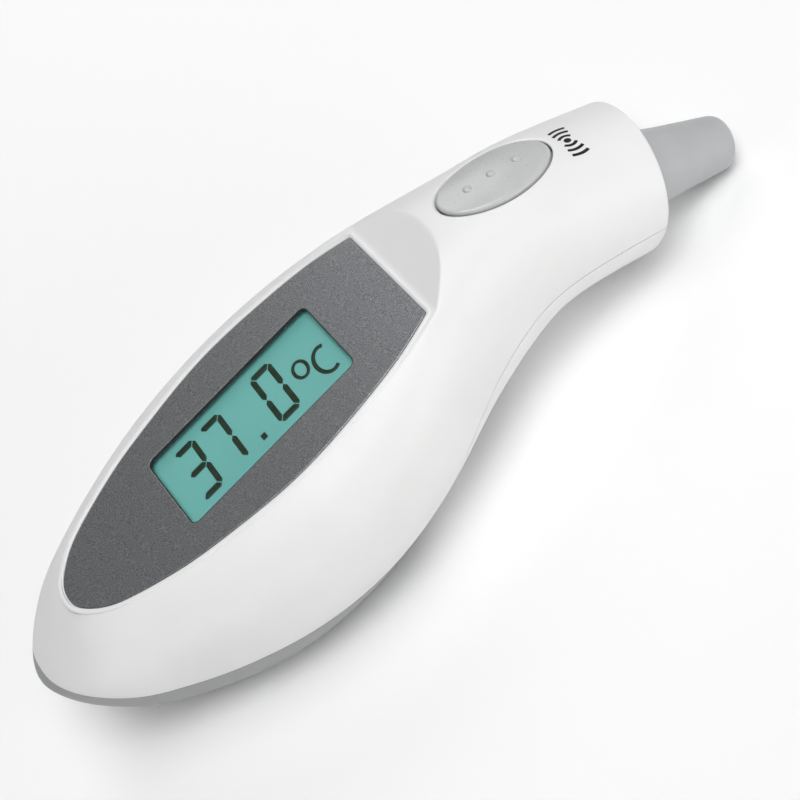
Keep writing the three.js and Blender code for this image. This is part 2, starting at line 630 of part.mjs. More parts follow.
// ---------- power ----------
let tray = solid(box(trayNose, trayHead, -trayHalf, trayHalf, trayBack, trayTop));
const wallHalf = trayHalf - 0.3;
const wallOutline = [
  [-wallHalf, trayBack + 0.5], [wallHalf, trayBack + 0.5], [wallHalf, trayBack - 2.5],
  [wallHalf - 3, cellZ - 2], [3 - wallHalf, cellZ - 2], [-wallHalf, trayBack - 2.5],
];
function trayWall(x0, x1) {
  const shape = new THREE.Shape(wallOutline.map(([y, z]) => new THREE.Vector2(y, z)));
  const geometry = new THREE.ExtrudeGeometry(shape, { depth: x1 - x0, bevelEnabled: false });
  const turn = new THREE.Matrix4().set(0, 0, 1, x0, 1, 0, 0, 0, 0, 1, 0, 0, 0, 0, 0, 1);
  return solid(geometry.applyMatrix4(turn));
}
tray = tray.add(trayWall(trayNose, trayNose + 1.2)).add(trayWall(trayHead - 1.2, trayHead));
for (const [x, y] of trayScrews) {
  const inner = (trayHalf - 0.8) * Math.sign(y);
  const tip = (trayHalf + 4.2) * Math.sign(y);
  const ear = box(x - 2.6, x + 2.6, Math.min(inner, tip), Math.max(inner, tip), trayBack, trayTop);
  tray = bored(tray.add(solid(ear)), x, y, holeR, trayBack - 1, trayTop + 1);
}
add("battery_tray", tray, "blackPlastic");

function cell(flip) {
  const profile = [
    [0, 0], [CELL_R, 0], [CELL_R, CELL_LENGTH - 1], [1.9, CELL_LENGTH - 1],
    [1.9, CELL_LENGTH], [0, CELL_LENGTH],
  ];
  const geometry = turned(profile, 24).rotateZ(flip ? Math.PI / 2 : -Math.PI / 2);
  return geometry.translate(flip ? cellEnd : cellX, flip ? cellY : -cellY, cellZ);
}
add("battery_1", cell(false), "cellSleeve");
add("battery_2", cell(true), "cellSleeve");
const innerNose = trayNose + 1.2;
const innerHead = trayHead - 1.2;
const bridge = solid(box(innerNose + GAP, innerNose + GAP + 0.5, -8, 8, cellZ - 2, cellZ + 2.6))
  .add(solid(box(innerNose + GAP + 0.3, cellX - GAP, -cellY - 1.5, -cellY + 1.5,
    cellZ - 1.5, cellZ + 1.5)))
  .add(solid(box(innerNose + GAP + 0.3, cellX - GAP, cellY - 1.5, cellY + 1.5,
    cellZ - 1.5, cellZ + 1.5)));
add("contact_bridge", bridge, "steel");
const headPlate = solid(box(innerHead - GAP - 0.5, innerHead - GAP, -cellY - 2.5,
  -cellY + 2.5, cellZ - 2, cellZ + 2.6))
  .add(solid(box(cellEnd + GAP, innerHead - GAP - 0.3, -cellY - 1.5, -cellY + 1.5,
    cellZ - 1.5, cellZ + 1.5)));
add("contact_plate", headPlate, "steel");

class Coil extends THREE.Curve {
  constructor(r, start, end, turns) {
    super();
    Object.assign(this, { r, start, end, turns });
  }
  getPoint(t, target = new THREE.Vector3()) {
    const angle = 2 * Math.PI * this.turns * t;
    const x = this.start + (this.end - this.start) * t;
    return target.set(x, this.r * Math.cos(angle), this.r * Math.sin(angle));
  }
}
function tube(path, r, steps, sides = 8) {
  const shape = new THREE.Shape();
  for (let i = 0; i < sides; i++) {
    const angle = (2 * Math.PI * i) / sides;
    const point = [r * Math.cos(angle), r * Math.sin(angle)];
    if (i === 0) shape.moveTo(...point);
    else shape.lineTo(...point);
  }
  return new THREE.ExtrudeGeometry(shape, { steps, extrudePath: path, bevelEnabled: false });
}
const coil = new Coil(2, innerHead - GAP - 0.3, cellEnd + GAP + 0.3, 2.5);
add("contact_spring", tube(coil, 0.25, 30, 6).translate(0, cellY, cellZ), "steel");

const leads = { battery_lead_red: -1, battery_lead_black: 1 };
for (const [name, s] of Object.entries(leads)) {
  const path = new THREE.CatmullRomCurve3([
    new THREE.Vector3(trayHead + GAP, s * (cellY - 1), cellZ + 0.5),
    new THREE.Vector3(trayHead + 1.8, s * (cellY - 1.1), cellZ + 1),
    new THREE.Vector3(trayHead + 2.6, s * (cellY - 1.6), cellZ + 4.5),
    new THREE.Vector3(trayHead + 2.2, s * (cellY - 2), boardBack - GAP - 0.1),
  ]);
  add(name, tube(path, 0.6, 12), s < 0 ? "wireRed" : "wireBlack");
}

// Flat ribbon from the sensor board to the end of the main board.
const sensorEnd = rimCentre.clone().addScaledVector(probeAxis, sensorBack - GAP - 0.2);
const ribbonX = Math.max(boardEnd - 7, ampX + 5 + 2 * GAP);
const ribbonStart = new THREE.Vector3(ribbonX, 0, boardBack - GAP - 0.3);
const ribbonSag = new THREE.Vector3(ribbonX + 2.5, 0, (ribbonStart.z + sensorEnd.z) / 2 - 1);
const ribbonPath = new THREE.CatmullRomCurve3([ribbonStart, ribbonSag, sensorEnd]);
const ribbonSection = roundedRectangle(0, 0, 4, 0.2, 0.05);
add("sensor_ribbon", new THREE.ExtrudeGeometry(ribbonSection, {
  steps: 10, extrudePath: ribbonPath, bevelEnabled: false, curveSegments: 1,
}), "copperFilm");

// ---------- screws ----------
// Head at the back, shank running up into a boss.
function screw(x, y, seat, length) {
  const profile = [
    [0, seat + length], [SCREW_R, seat + length - 0.4], [SCREW_R, seat],
    [SCREW_HEAD_R, seat], [SCREW_HEAD_R, seat - 0.9], [0, seat - 1.1],
  ];
  return turned(profile.reverse(), 12).rotateX(Math.PI / 2).translate(x, y, 0);
}
boardScrews.forEach(([x, y], i) => {
  add(`board_screw_${i + 1}`, screw(x, y, boardBack - GAP, 6), "steel");
});
trayScrews.forEach(([x, y], i) => {
  add(`tray_screw_${i + 1}`, screw(x, y, trayBack - GAP, 7), "steel");
});
caseScrews.forEach(([x, y], i) => {
  add(`case_screw_${i + 1}`, screw(x, y, -21.5 - GAP, 9), "steel");
});

// ---------- stand the part on z = 0, centred on x ----------
thermometer.updateMatrixWorld(true);
const bounds = new THREE.Box3().setFromObject(thermometer, true);
thermometer.position.set(-(bounds.min.x + bounds.max.x) / 2, 0, -restLevel);

export default thermometer;
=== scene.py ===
"""Looks of the digital ear thermometer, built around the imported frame.

The casing is drawn in the frame of the flat display face, in millimetres: x runs from the
nose to the probe and z is the height over the face. to_world() then lays it on its back.
"""
import math

import bmesh
import bpy
import numpy as np
from mathutils import Matrix, Vector
from mathutils.bvhtree import BVHTree


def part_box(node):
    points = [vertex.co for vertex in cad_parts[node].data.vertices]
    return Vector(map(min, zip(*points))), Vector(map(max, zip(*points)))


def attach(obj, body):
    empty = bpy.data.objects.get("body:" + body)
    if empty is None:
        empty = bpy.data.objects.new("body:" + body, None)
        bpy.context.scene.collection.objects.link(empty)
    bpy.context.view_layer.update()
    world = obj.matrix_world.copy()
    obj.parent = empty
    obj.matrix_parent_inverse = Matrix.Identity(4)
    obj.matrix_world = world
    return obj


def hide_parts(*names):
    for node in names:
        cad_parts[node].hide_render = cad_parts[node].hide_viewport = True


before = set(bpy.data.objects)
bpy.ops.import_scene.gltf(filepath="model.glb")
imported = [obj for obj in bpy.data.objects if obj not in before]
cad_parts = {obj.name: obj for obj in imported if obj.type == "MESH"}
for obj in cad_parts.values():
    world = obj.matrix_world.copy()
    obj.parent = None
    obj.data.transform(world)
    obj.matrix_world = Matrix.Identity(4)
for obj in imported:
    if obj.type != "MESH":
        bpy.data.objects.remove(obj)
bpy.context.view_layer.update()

# ---------- sizes, millimetres and degrees ----------
MM = 0.001
TILT = 3  # between the display face and the surface that the thermometer lies on
WALL = 2
FACE_WALL = 3.4
GAP = 0.3
SEAM_GAP = 0.14
RAMP_START = 12.3
RAMP_ANGLE = 16
HEAD_EDGE_R = (0.6, 1.8)  # at the crown and at the back

WINDOW_X, WINDOW_LENGTH, WINDOW_WIDTH, WINDOW_CORNER_R = -17.3, 32.9, 15.5, 1.3
PANE_LENGTH, PANE_WIDTH, PANE_CORNER_R, PANE_LEDGE = 36.2, 19, 1, 1
PANEL_TOP, PANEL_THICK = -0.1, 0.5
PANEL_BACK = PANEL_TOP - PANEL_THICK
# Heights of the black lining in the display opening, which is painted shade on the opening's walls.
SHADE_LINING_TOP, SHADE_LINING_LOW = PANEL_TOP - 0.08, PANEL_BACK - 0.02
LCD_TOP, LCD_BACK = -1.7, -3.4

BUTTON_X, BUTTON_A, BUTTON_B = 31.75, 8.9, 5.4
BUTTON_PROUD, BUTTON_EDGE_R, BUTTON_DEPTH, BUTTON_CLEAR = 0.3, 0.55, 2.4, 0.25
DOT_XS, DOT_Y = (27.8, 31.8, 36.0), -0.25
MARK_X, MARK_Y = 43.3, -1.2

PROBE_ROOT = (46, 0, -21.5)
PROBE_ANGLE = 34
PROBE_LENGTH, PROBE_BASE_R, PROBE_TIP_R, PROBE_MOUTH_R, PROBE_EDGE_R = 19.6, 7.2, 4.25, 2.6, 1.6
FLARE, FLARE_LENGTH = 0.7, 10  # concave flare at the root of the probe

COVER_X = -12.85
RIDGE_XS, RIDGE_HALF, RIDGE_WIDE, RIDGE_HIGH = (-60, -57.4, -54.8), 7, 0.6, 0.4
TONGUE_START, TONGUE_END, TONGUE_HALF = COVER_X - 2.6, COVER_X + 3.5, 4.5
TONGUE_LOW, TONGUE_TOP = -27.6, -26.6
TONGUE_FOOT_END, TONGUE_FOOT_LOW = COVER_X - 0.4, -30.5  # the foot is rooted in the wall

SCREW_X, SCREW_Y = 6, 10
SCREW_BOSS_R, SCREW_BOSS_LOW, SCREW_BOSS_TOP = 3.3, -29, -17.8
SCREW_HEAD_R, SCREW_HOLE_R, SCREW_SEAT = 2.5, 1.3, -21.5

# Heights over and under the whole casing.
ABOVE, BELOW = 30, -60

# Each section's crown x and z, back x and z, half width, height of its widest point as a share
# of the section, and squareness. They are the CAD casing's, with the rim 0.7 mm further out.
SECTIONS = [
    [-68, -8.5, -68, -8.5, 0, 0.6, 2.5],
    [-61.5, -3.5, -61.5, -20, 10.5, 0.6, 2.5],
    [-52, 0.5, -52, -29, 15, 0.6, 2.5],
    [-36, 2, -36, -33, 21, 0.6, 2.5],
    [-17, 2.5, -17, -31.5, 23, 0.6, 2.5],
    [0, 2.5, -3, -28.5, 21, 0.58, 2.5],
    [14, 3, 8, -27.5, 16, 0.55, 2.5],
    [28, 0.2, 19, -26.5, 12.5, 0.52, 2.4],
    [38, -3.5, 28, -26.5, 12, 0.5, 2.3],
    [52.7, -11.3, 40.6, -32.3, 12, 0.5, 2],
]
# Side view of the seam, up to 0.9 mm lower than in CAD.
SEAM = [
    (-72, -4.5), (-66, -6.5), (-60, -11), (-55, -14.6), (-48, -17.3), (-40, -18.8), (-30, -20.9),
    (-20, -22.9), (-12, -22.9), (-4, -20.6), (4, -18.3), (12, -17), (20, -16.5), (28, -17.3),
    (36, -19.7), (44, -23), (54, -27.5),
]
# Half outline of the grey panel, from the nose to its straight end.
PANEL = [
    (-55, 0), (-54.3, 2.8), (-51, 6.4), (-46, 9.1), (-38, 11.9), (-30, 13.6), (-20, 15),
    (-10, 14.9), (0, 13.7), (6, 12.4), (11, 10.8),
]

RIM_TOP, RIM_BACK = np.array(SECTIONS[-1][0:2], float), np.array(SECTIONS[-1][2:4], float)
RIM_CENTRE = np.array([(RIM_TOP[0] + RIM_BACK[0]) / 2, 0, (RIM_TOP[1] + RIM_BACK[1]) / 2])
RIM_UP = np.array([RIM_TOP[0] - RIM_BACK[0], 0, RIM_TOP[1] - RIM_BACK[1]])
RIM_UP /= np.linalg.norm(RIM_UP)
RIM_OUT = np.array([RIM_UP[2], 0, -RIM_UP[0]])

# ---------- frame of the display face ----------
tilt = math.radians(TILT)
TURN = np.array([
    [math.cos(tilt), 0, -math.sin(tilt)], [0, 1, 0], [math.sin(tilt), 0, math.cos(tilt)],
])
lcd_low, lcd_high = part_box("lcd_glass")
lcd_middle = np.array((lcd_low + lcd_high) / 2) / MM
SHIFT = lcd_middle - TURN @ np.array([WINDOW_X, 0, (LCD_TOP + LCD_BACK) / 2])


def to_world(points):
    """Points of the display face's frame, millimetres, to the row frame, metres."""
    return (np.asarray(points, float) @ TURN.T + SHIFT) * MM


def rest_height(x):
    """Height of the surface that the thermometer lies on, in the face frame."""
    return -(SHIFT[2] + x * math.sin(tilt)) / math.cos(tilt)


# ---------- meshes ----------
def mesh_object(name, points, faces, smooth_angle=35):
    """Object of points in the face frame, cleaned and shaded smooth up to an angle."""
    mesh = bpy.data.meshes.new(name)
    mesh.from_pydata([tuple(p) for p in to_world(points)], [], faces)
    made = bpy.data.objects.new(name, mesh)
    bpy.context.scene.collection.objects.link(made)
    clean(made)
    shade(made, smooth_angle)
    return made


def clean(made):
    """Welds doubled points, drops empty faces and turns all faces outward."""
    bm = bmesh.new()
    bm.from_mesh(made.data)
    bmesh.ops.remove_doubles(bm, verts=bm.verts, dist=1e-7)
    bmesh.ops.dissolve_degenerate(bm, edges=bm.edges, dist=1e-8)
    drop_doubled_faces(bm)
    bmesh.ops.recalc_face_normals(bm, faces=bm.faces)
    if bm.calc_volume(signed=True) < 0:
        bmesh.ops.reverse_faces(bm, faces=bm.faces)
    bm.to_mesh(made.data)
    bm.free()


def drop_doubled_faces(bm):
    """Removes pairs of faces with the same corners, which are left where a sliver closed."""
    groups = {}
    for face in bm.faces:
        groups.setdefault(frozenset(face.verts), []).append(face)
    doubled = [face for group in groups.values() if len(group) > 1 for face in group]
    bmesh.ops.delete(bm, geom=doubled, context="FACES")


def shade(made, angle):
    """Smooth shading, but sharp along edges that turn more than angle, degrees."""
    made.data.shade_smooth()
    made.data.set_sharp_from_angle(angle=math.radians(angle))


def combine(made, operation, *others):
    """Boolean of made with the others, which are used up."""
    for other in others:
        step = made.modifiers.new("cut", "BOOLEAN")
        step.operation = operation
        step.solver = "MANIFOLD"
        step.object = other
        graph = bpy.context.evaluated_depsgraph_get()
        result = bpy.data.meshes.new_from_object(made.evaluated_get(graph))
        made.modifiers.clear()
        old = made.data
        made.data = result
        bpy.data.meshes.remove(old)
        used = other.data
        bpy.data.objects.remove(other)
        bpy.data.meshes.remove(used)
    return made


def copy_of(made, name):
    """Copy with a mesh of its own."""
    twin = made.copy()
    twin.data = made.data.copy()
    twin.name = name
    bpy.context.scene.collection.objects.link(twin)
    return twin


def tube_of_rings(rings, closed=False):
    """Points and faces of a stack of closed rings, capped at both ends unless closed."""
    rings = np.asarray(rings, float)
    count, sides = rings.shape[:2]
    points = rings.reshape(-1, 3).tolist()
    faces = []
    for i in range(count if closed else count - 1):
        for j in range(sides):
            a, b = i * sides + j, i * sides + (j + 1) % sides
            c, d = (i + 1) % count * sides + (j + 1) % sides, (i + 1) % count * sides + j
            faces.append((a, b, c, d))
    if not closed:
        for i, flip in ((0, True), (count - 1, False)):
            middle = len(points)
            points.append(rings[i].mean(axis=0).tolist())
            for j in range(sides):
                a, b = i * sides + j, i * sides + (j + 1) % sides
                faces.append((b, a, middle) if flip else (a, b, middle))
    return points, faces


def ring_object(name, rings, closed=False, smooth_angle=35):
    """Object of a stack of rings in the face frame."""
    return mesh_object(name, *tube_of_rings(rings, closed), smooth_angle)


def grown(outline, offset):
    """A counter-clockwise outline (x, y), moved out by offset."""
    outline = np.asarray(outline, float)
    ahead = np.roll(outline, -1, axis=0) - np.roll(outline, 1, axis=0)
    ahead /= np.linalg.norm(ahead, axis=1)[:, None]
    return outline + np.stack([ahead[:, 1], -ahead[:, 0]], axis=1) * offset


def at_height(outline, z):
    """Ring of an outline at one height, or at a height for each point."""
    return np.column_stack([outline, np.broadcast_to(z, len(outline))])


def prism(name, outline, levels, closed=False):
    """Stack of one outline (x, y) grown by given offsets at given heights (offset, z)."""
    return ring_object(name, [at_height(grown(outline, offset), z) for offset, z in levels], closed)


def slab(name, line, far, half=60):
    """Everything between a line (x, z) and the height far, across the part."""
    line = np.asarray(line, float)
    outline = list(line) + [(line[-1][0], far), (line[0][0], far)]
    count = len(outline)
    points = [(x, y, z) for y in (-half, half) for x, z in outline]
    faces = [tuple(range(count)), tuple(range(2 * count - 1, count - 1, -1))]
    faces += [(i, (i + 1) % count, count + (i + 1) % count, count + i) for i in range(count)]
    return mesh_object(name, points, faces)


def block(name, x0, x1, y0, y1, z0, z1):
    """Square-edged block between two values along each axis."""
    corners = [(x0, y0), (x1, y0), (x1, y1), (x0, y1)]
    return ring_object(name, [[(x, y, z) for x, y in corners] for z in (z0, z1)])


def rounded_rectangle(cx, cy, length, width, r, steps=8):
    """Counter-clockwise outline with round corners."""
    points = []
    for k, (sx, sy) in enumerate(((1, -1), (1, 1), (-1, 1), (-1, -1))):
        ox, oy = cx + sx * (length / 2 - r), cy + sy * (width / 2 - r)
        for i in range(steps + 1):
            turn = math.pi / 2 * (k - 1 + i / steps)
            points.append((ox + r * math.cos(turn), oy + r * math.sin(turn)))
    return points


def ellipse(cx, cy, a, b, count=128, first=0):
    """Counter-clockwise ellipse whose first point is at the angle first, radians."""
    turns = first + np.linspace(0, 2 * math.pi, count, endpoint=False)
    return np.column_stack([cx + a * np.cos(turns), cy + b * np.sin(turns)])


# ---------- the casing's loft ----------
def curve_through(values, flat_start=False):
    """Smooth curve through evenly spaced values, t from 0 to 1."""
    values = np.asarray(values, float)
    n = len(values) - 1
    bend, lower, right = np.zeros(n + 1), np.zeros(n + 1), np.zeros(n + 1)
    if flat_start:
        lower[0] = 0.5
        right[0] = 3 * (values[1] - values[0])
    for i in range(1, n):
        pivot = 4 - lower[i - 1]
        lower[i] = 1 / pivot
        second = 6 * (values[i + 1] - 2 * values[i] + values[i - 1])
        right[i] = (second - right[i - 1]) / pivot
    for i in range(n - 1, -1, -1):
        bend[i] = right[i] - lower[i] * bend[i + 1]

    def at(t):
        t = np.asarray(t, float)
        i = np.minimum(np.floor(t * n).astype(int), n - 1)
        b = t * n - i
        a = 1 - b
        pull = (a**3 - a) * bend[i] + (b**3 - b) * bend[i + 1]
        return a * values[i] + b * values[i + 1] + pull / 6

    return at


def inset_sections(inset):
    """The casing's sections, moved in from its surface by inset."""
    rows = []
    for i, (top_x, top_z, back_x, back_z, half, widest, square) in enumerate(SECTIONS):
        top, back = np.array([top_x, top_z], float), np.array([back_x, back_z], float)
        if i == 0:
            rows.append([top_x + inset, top_z, back_x + inset, back_z, 0, widest, square])
            continue
        up = (top - back) / np.linalg.norm(top - back)
        top, back = top - up * inset, back + up * inset
        if i == len(SECTIONS) - 1:
            out = np.array([up[1], -up[0]])
            top, back = top - out * inset, back - out * inset
        rows.append([*top, *back, half - inset, widest, square])
    return np.array(rows)


def seam_line(count=200):
    """Points x and z along the seam."""
    t = np.linspace(0, 1, count)
    return curve_through([p[0] for p in SEAM])(t), curve_through([p[1] for p in SEAM])(t)


def seam_height(x):
    """Height of the seam at x."""
    return np.interp(x, *seam_line())


def face_height(x):
    """Height of the display face and of the ramp behind it."""
    return np.maximum(x - RAMP_START, 0) * math.tan(math.radians(RAMP_ANGLE))


def mixed_steps(count, share=0.6):
    """From 0 to 1, closer together at both ends."""
    u = np.linspace(0, 1, count + 1)
    return (1 - share) * u + share * (1 - np.cos(math.pi * u)) / 2


def ring_places(parts, count):
    """Curve positions of the rings, closer at the nose, the ramp and the head."""
    t = np.linspace(0, 1, 4000)
    x, z = parts[0](t), parts[1](t)
    step = np.hypot(np.gradient(x), np.gradient(z))
    ramp = np.exp(-(((x - 15.5) / 4.5) ** 2))
    nose, head = np.exp(-((x + 68) / 5)), np.exp(-((52 - x) / 3))
    crowd = 1 + 2.2 * ramp + 1.5 * nose + 2 * head
    run = np.cumsum(step * crowd)
    return np.interp(np.linspace(0, run[-1], count + 1)[1:], run, t)


def half_row(parts, t, face_drop, rest_rise):
    """Half outline of the casing at t, cut by the display face and the rest plane."""
    top_x, top_z, back_x, back_z, half, widest, square = [float(p(t)) for p in parts]
    turns = np.linspace(0, math.pi, 721)
    up = np.sign(np.cos(turns)) * np.abs(np.cos(turns)) ** (2 / square)
    side = np.abs(np.sin(turns)) ** (2 / square)
    mid_x = back_x + (top_x - back_x) * widest
    mid_z = back_z + (top_z - back_z) * widest
    end_x = np.where(up > 0, top_x, back_x)
    end_z = np.where(up > 0, top_z, back_z)
    row = np.column_stack([
        mid_x + (end_x - mid_x) * np.abs(up), half * side, mid_z + (end_z - mid_z) * np.abs(up),
    ])
    corners = [None, None]
    over = row[:, 2] - (face_height(row[:, 0]) - face_drop)
    if over[0] > 0:
        row, corners[0] = cut_row(row, over)
    under = (rest_height(row[:, 0]) + rest_rise - row[:, 2])[::-1]
    if under[0] > 0:
        flipped, corners[1] = cut_row(row[::-1], under)
        row = flipped[::-1]
    run = np.concatenate([[0], np.cumsum(np.linalg.norm(np.diff(row, axis=0), axis=1))])
    return row, run, corners


def cut_row(row, over):
    """Replaces the start of a row, where over is positive, by a straight run to y = 0."""
    k = int(np.argmax(over <= 0))
    share = over[k - 1] / (over[k - 1] - over[k])
    corner = row[k - 1] + (row[k] - row[k - 1]) * share
    straight = np.linspace([corner[0], 0, corner[2]], corner, 60)
    return np.vstack([straight, row[k:]]), corner[1]


def sample_row(row, run, corners, columns):
    """Columns of a row: centre to face edge, to seam, to rest edge, to back centre."""
    over_seam = row[:, 2] - seam_height(row[:, 0])
    below = np.nonzero(over_seam < 0)[0]
    seam_at = run[below[0]] if len(below) else run[-1] * 0.6
    seam_at = min(max(seam_at, 0.3 * run[-1]), 0.85 * run[-1])
    edge_at = max(corners[0] or 0, 0.2 * seam_at)
    left = run[-1] - seam_at
    rest_at = run[-1] - max(corners[1] or 0, 0.3 * left)
    stops = [0, edge_at, seam_at, max(rest_at, seam_at + 0.1 * left), run[-1]]
    places = [0.0]
    for i, count in enumerate(columns):
        places += list(stops[i] + (stops[i + 1] - stops[i]) * mixed_steps(count)[1:])
    return np.column_stack([np.interp(places, run, row[:, k]) for k in range(3)])


def casing_grid(inset, ring_count, columns, face_drop=0, rest_rise=0):
    """Half-ring points of the casing, [ring, column, xyz], from crown to back."""
    rows = inset_sections(inset)
    parts = [curve_through(rows[:, k], k in (0, 2)) for k in range(7)]
    places = ring_places(parts, ring_count)
    grid = []
    for t in places:
        grid.append(sample_row(*half_row(parts, t, face_drop, rest_rise), columns))
    return np.array([rows[0][0], 0, rows[0][1]]), np.array(grid)


def smoothed(pole, grid, rounds):
    """Evens the grid out a little, which rounds its sharp edges."""
    for _ in range(rounds):
        before = np.concatenate([np.broadcast_to(pole, (1,) + grid.shape[1:]), grid[:-1]])
        after = np.concatenate([grid[1:], grid[-1:]])
        mirror = grid * np.array([1, -1, 1])
        left = np.concatenate([mirror[:, 1:2], grid[:, :-1]], axis=1)
        right = np.concatenate([grid[:, 1:], mirror[:, -2:-1]], axis=1)
        mean = (before + after + left + right) / 4
        moved = grid + 0.5 * (mean - grid)
        moved[-1] = grid[-1]
        grid = moved
    return grid


def round_head(grid):
    """Pulls the last rings in on a quarter circle, towards the rim's centre."""
    flat = grid - RIM_CENTRE
    flat = flat - (flat @ RIM_OUT)[..., None] * RIM_OUT
    reach = np.maximum(np.linalg.norm(flat, axis=2), 1)
    low = np.clip(0.5 - 0.5 * (flat @ RIM_UP) / reach, 0, 1) ** 3
    r = HEAD_EDGE_R[0] + (HEAD_EDGE_R[1] - HEAD_EDGE_R[0]) * low
    depth = -((grid - RIM_CENTRE) @ RIM_OUT)
    near = np.clip(1 - depth / r, 0, 1)
    pull = r * (1 - np.sqrt(1 - near**2))
    return grid - flat * (pull / reach)[..., None]


def full_rings(half):
    """Whole rings from half rings, mirrored over y = 0."""
    other = half[:, -2:0:-1] * np.array([1, -1, 1])
    return np.concatenate([half, other], axis=1)


def casing_solid(name, pole, grid):
    """Closed object of the casing's half rings and its pole at the nose."""
    rings = full_rings(grid)
    count, sides = rings.shape[:2]
    points = rings.reshape(-1, 3).tolist() + [list(pole), rings[-1].mean(axis=0).tolist()]
    faces = []
    for i in range(count - 1):
        for j in range(sides):
            k = (j + 1) % sides
            faces.append((i * sides + j, i * sides + k, (i + 1) * sides + k, (i + 1) * sides + j))
    last = (count - 1) * sides
    for j in range(sides):
        k = (j + 1) % sides
        faces.append((j, len(points) - 2, k))
        faces.append((last + j, last + k, len(points) - 1))
    return mesh_object(name, points, faces, 40)


# ---------- materials ----------
def material(name, colour, roughness, metallic=0.0, **sockets):
    """Material of one shader; a socket's name has _ for each space."""
    made = bpy.data.materials.new(name)
    made.use_nodes = True
    shader = made.node_tree.nodes["Principled BSDF"]
    shader.inputs["Base Color"].default_value = (*colour, 1)
    shader.inputs["Roughness"].default_value = roughness
    shader.inputs["Metallic"].default_value = metallic
    for socket, value in sockets.items():
        shader.inputs[socket.replace("_", " ")].default_value = value
    return made


def noise(made, scale, detail=2.0):
    """Noise node over the object's own coordinates, which are metres."""
    nodes, links = made.node_tree.nodes, made.node_tree.links
    place = nodes.new("ShaderNodeTexCoord")
    grain = nodes.new("ShaderNodeTexNoise")
    grain.inputs["Scale"].default_value = scale
    grain.inputs["Detail"].default_value = detail
    links.new(place.outputs["Object"], grain.inputs["Vector"])
    return grain


def mottle(made, scale, dark, light, detail=2.0, low=0.35, high=0.65):
    """Colour that varies between dark and light with a noise of the given scale."""
    nodes, links = made.node_tree.nodes, made.node_tree.links
    grain = noise(made, scale, detail)
    ramp = nodes.new("ShaderNodeValToRGB")
    ramp.color_ramp.elements[0].position = low
    ramp.color_ramp.elements[0].color = (*dark, 1)
    ramp.color_ramp.elements[1].position = high
    ramp.color_ramp.elements[1].color = (*light, 1)
    links.new(grain.outputs["Fac"], ramp.inputs["Fac"])
    links.new(ramp.outputs["Color"], nodes["Principled BSDF"].inputs["Base Color"])


def roughen(made, scale, low, high):
    """Roughness that varies between low and high."""
    nodes, links = made.node_tree.nodes, made.node_tree.links
    grain = noise(made, scale, 3)
    spread = nodes.new("ShaderNodeMapRange")
    spread.inputs["To Min"].default_value = low
    spread.inputs["To Max"].default_value = high
    links.new(grain.outputs["Fac"], spread.inputs["Value"])
    links.new(spread.outputs["Result"], nodes["Principled BSDF"].inputs["Roughness"])


def bump(made, scale, height, strength=0.2):
    """Fine surface grain, height in metres."""
    nodes, links = made.node_tree.nodes, made.node_tree.links
    grain = noise(made, scale, 2)
    raised = nodes.new("ShaderNodeBump")
    raised.inputs["Strength"].default_value = strength
    raised.inputs["Distance"].default_value = height
    links.new(grain.outputs["Fac"], raised.inputs["Height"])
    links.new(raised.outputs["Normal"], nodes["Principled BSDF"].inputs["Normal"])


def white_shell():
    made = material("white_satin_plastic", (0.8, 0.8, 0.798), 0.44)
    mottle(made, 90, (0.79, 0.79, 0.787), (0.81, 0.81, 0.808))
    roughen(made, 700, 0.4, 0.48)
    bump(made, 1800, 0.00002, 0.05)
    return made


def panel_grey():
    made = material("sparkle_grey_panel", (0.3, 0.305, 0.315), 0.4, 0.75)
    mottle(made, 6000, (0.2, 0.206, 0.216), (0.42, 0.429, 0.447), 1.0, 0.35, 0.68)
    roughen(made, 6500, 0.36, 0.44)
    bump(made, 6500, 0.00003, 0.12)
    return made


def cover_grey():
    made = material("grey_cover_plastic", (0.33, 0.335, 0.34), 0.5)
    mottle(made, 300, (0.325, 0.33, 0.335), (0.335, 0.34, 0.345))
    roughen(made, 1200, 0.42, 0.55)
    bump(made, 3500, 0.00004, 0.25)
    return made


def probe_grey():
    made = material("grey_probe_plastic", (0.42, 0.43, 0.44), 0.42)
    mottle(made, 250, (0.412, 0.422, 0.432), (0.428, 0.438, 0.448))
    roughen(made, 1500, 0.36, 0.48)
    bump(made, 3500, 0.00003, 0.15)
    return made


def button_grey():
    made = material("light_grey_button", (0.52, 0.533, 0.528), 0.28)
    mottle(made, 300, (0.51, 0.523, 0.518), (0.53, 0.543, 0.538))
    roughen(made, 1500, 0.26, 0.3)
    bump(made, 3500, 0.00002, 0.1)
    return made


def clear_plastic():
    made = material("clear_window", (0.93, 0.97, 0.96), 0.04, Alpha=0.06, Transmission_Weight=1)
    roughen(made, 400, 0.03, 0.07)
    return made


def lcd_teal():
    made = material("lcd_teal", (0.16, 0.48, 0.445), 0.5)
    mottle(made, 60, (0.155, 0.47, 0.435), (0.165, 0.49, 0.455))
    roughen(made, 900, 0.45, 0.55)
    return made


def lcd_dark():
    made = material("lcd_segment", (0.02, 0.035, 0.022), 0.6, Specular_IOR_Level=0.15)
    mottle(made, 500, (0.017, 0.03, 0.018), (0.024, 0.042, 0.026))
    return made


def plain_plastic(name, colour, roughness, scale=600, spread=0.06):
    made = material(name, colour, roughness)
    mottle(made, scale, [c * (1 - spread) for c in colour], [c * (1 + spread) for c in colour])
    roughen(made, 1500, roughness - 0.06, roughness + 0.06)
    bump(made, 3000, 0.00003, 0.15)
    return made


def metal(name, colour, roughness, scale=1500):
    made = material(name, colour, roughness, 1.0)
    mottle(made, scale, [c * 0.9 for c in colour], colour)
    roughen(made, scale, roughness - 0.06, roughness + 0.08)
    return made


